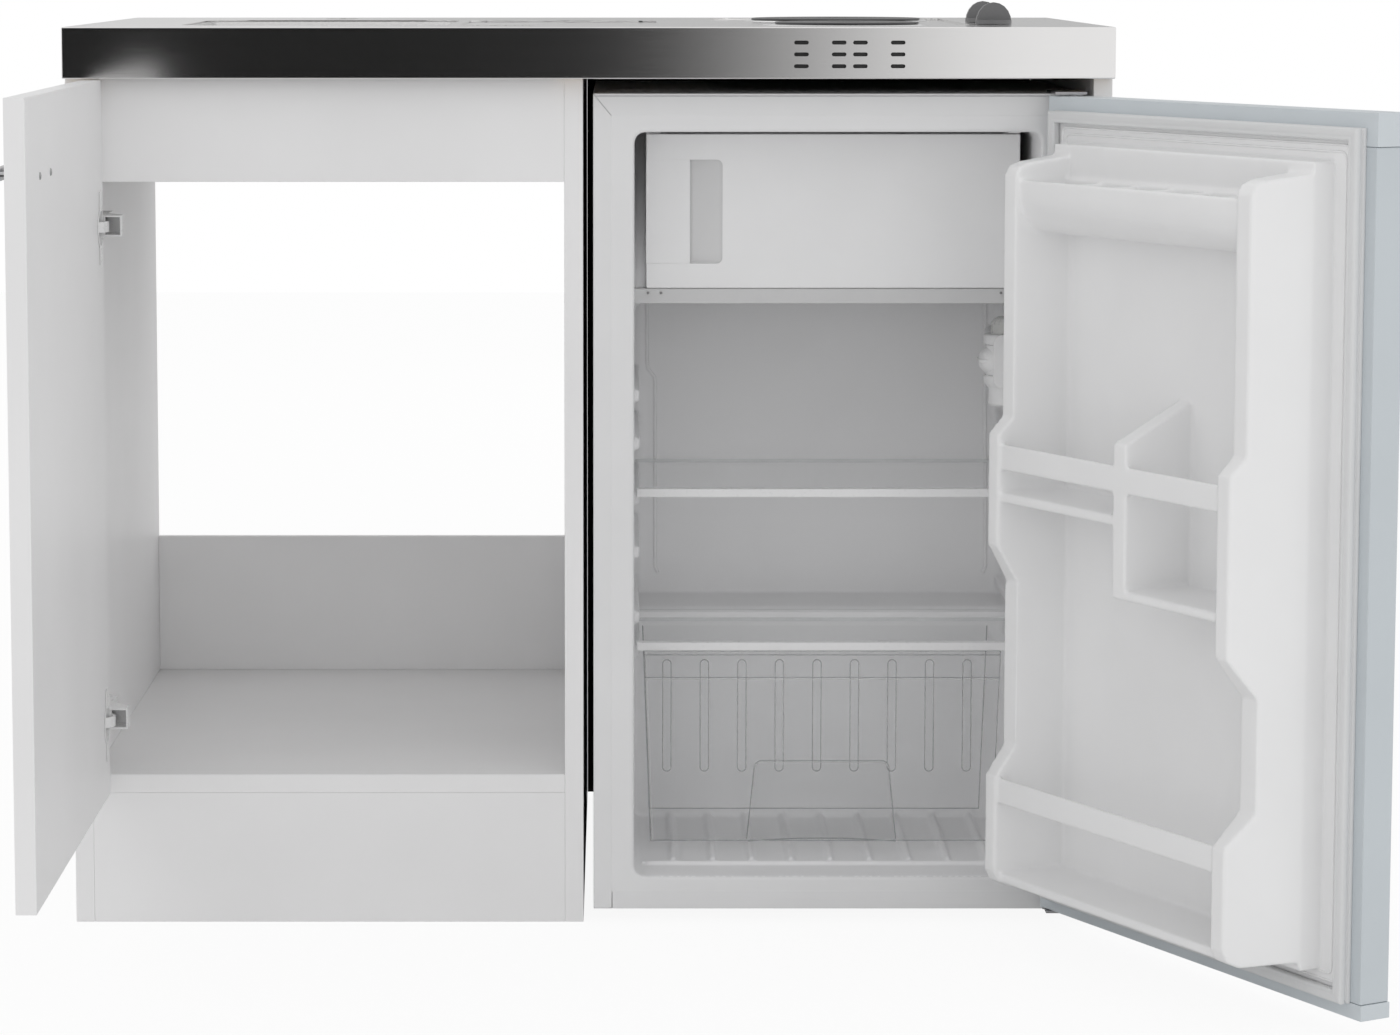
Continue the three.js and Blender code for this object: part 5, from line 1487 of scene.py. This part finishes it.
def fade_across(tree, start, end, low=0.0, high=1.0):
    """A value that changes softly from left to right."""
    split = add(tree, "SeparateXYZ")
    fade = add(tree, "MapRange", From_Min=start, From_Max=end, To_Min=low, To_Max=high)
    fade.interpolation_type = "SMOOTHSTEP"
    link(add(tree, "TexCoord"), "Object", split, "Vector")
    link(split, "X", fade, "Value")
    return fade


def make_dark_card():
    """A dark card in front, fading out to the right, for the steel lip."""
    material, tree, out = new_material("dark_card")
    dark = add(tree, "Emission", Color=(0.016, 0.016, 0.016, 1.0))
    clear = add(tree, "BsdfTransparent")
    mix = add(tree, "MixShader")
    link(fade_across(tree, 0.02, 0.70), "Result", mix, "Fac")
    link(dark, "Emission", mix, 1)
    link(clear, "BSDF", mix, 2)
    link(mix, "Shader", out, "Surface")
    upright_card("dark_card", -1.75, 0.76, -2.5, -0.0004, 1.8, material)


def make_grey_card():
    """A grey card behind, a little darker to the right, for the steel top."""
    material, tree, out = new_material("grey_card")
    grey = add(tree, "Emission", Color=WHITE)
    link(fade_across(tree, -0.95, -0.1, 0.72, 0.55), "Result", grey, "Strength")
    link(grey, "Emission", out, "Surface")
    upright_card("grey_card", -5.0, 5.0, 5.0, 0.0, 3.5, material)


def make_sky(context, look):
    """An even sky, which looks white to the camera, in gloss and through glass."""
    world = bpy.data.worlds.new("studio_sky")
    context.scene.world = world
    world.use_nodes = True
    tree = world.node_tree
    tree.nodes.clear()
    out = tree.nodes.new("ShaderNodeOutputWorld")
    sky = add(tree, "Background", Color=WHITE)
    path = add(tree, "LightPath")
    seen = maths(tree, "MAXIMUM")
    also = maths(tree, "MAXIMUM")
    level = add(tree, "MapRange", To_Min=look.sky, To_Max=1.0)
    link(path, "Is Camera Ray", seen, 0)
    link(path, "Is Glossy Ray", seen, 1)
    link(seen, "Value", also, 0)
    link(path, "Is Transmission Ray", also, 1)
    link(also, "Value", level, "Value")
    link(level, "Result", sky, "Strength")
    link(sky, "Background", out, "Surface")


def lamp(name, watts, size, spot, aim):
    """A large soft lamp that leaves no glint."""
    light = bpy.data.lights.new(name, "AREA")
    light.shape = "RECTANGLE"
    light.size, light.size_y = size
    light.energy = watts
    placed = into_scene(name, light)
    placed.location = spot
    placed.rotation_euler = (Vector(aim) - Vector(spot)).to_track_quat("-Z", "Y").to_euler()
    placed.visible_glossy = False


def make_camera(context):
    """The photograph's view: from just above the top, turned down a little."""
    data = bpy.data.cameras.new("camera")
    data.sensor_width = 36.0
    data.lens = 101.459
    data.shift_x = 0.0614
    data.shift_y = -0.11
    camera = into_scene("camera", data)
    camera.location = (0.03872, -4.06197, 0.93498)
    camera.rotation_euler = (math.radians(90 - 5.8658), 0.0, 0.0)
    context.scene.camera = camera
    context.scene.view_settings.view_transform = "Standard"


# ------------------------------------------------------------------------ the add-on


class KITCHENETTE_PT_panel(bpy.types.Panel):
    """Lists what makes the unit"""

    bl_idname = "KITCHENETTE_PT_panel"
    bl_label = "Kitchenette unit"
    bl_space_type = "VIEW_3D"
    bl_region_type = "UI"
    bl_category = "Kitchenette"

    def draw(self, context):
        for operator in OPERATORS:
            self.layout.operator(operator.bl_idname)


OPERATORS = (
    KITCHENETTE_OT_finishes,
    KITCHENETTE_OT_studio,
    KITCHENETTE_OT_carcass,
    KITCHENETTE_OT_steel_top,
    KITCHENETTE_OT_sink,
    KITCHENETTE_OT_hob,
    KITCHENETTE_OT_knobs,
    KITCHENETTE_OT_cabinet_door,
    KITCHENETTE_OT_hinges,
    KITCHENETTE_OT_cooler_body,
    KITCHENETTE_OT_cooler_inside,
    KITCHENETTE_OT_cooler_door,
)
LOOKS = {
    "board_look": BoardLook,
    "steel_look": SteelLook,
    "cooler_look": CoolerLook,
    "studio_look": StudioLook,
}
CLASSES = (*LOOKS.values(), *OPERATORS, KITCHENETTE_PT_panel)


def register():
    for made in CLASSES:
        bpy.utils.register_class(made)
    for name, look in LOOKS.items():
        setattr(bpy.types.Scene, name, PointerProperty(type=look))


def unregister():
    for name in LOOKS:
        delattr(bpy.types.Scene, name)
    for made in reversed(CLASSES):
        bpy.utils.unregister_class(made)


def main():
    register()
    for operator in OPERATORS:
        space, name = operator.bl_idname.split(".")
        getattr(getattr(bpy.ops, space), name)()


if __name__ == "__main__":
    main()
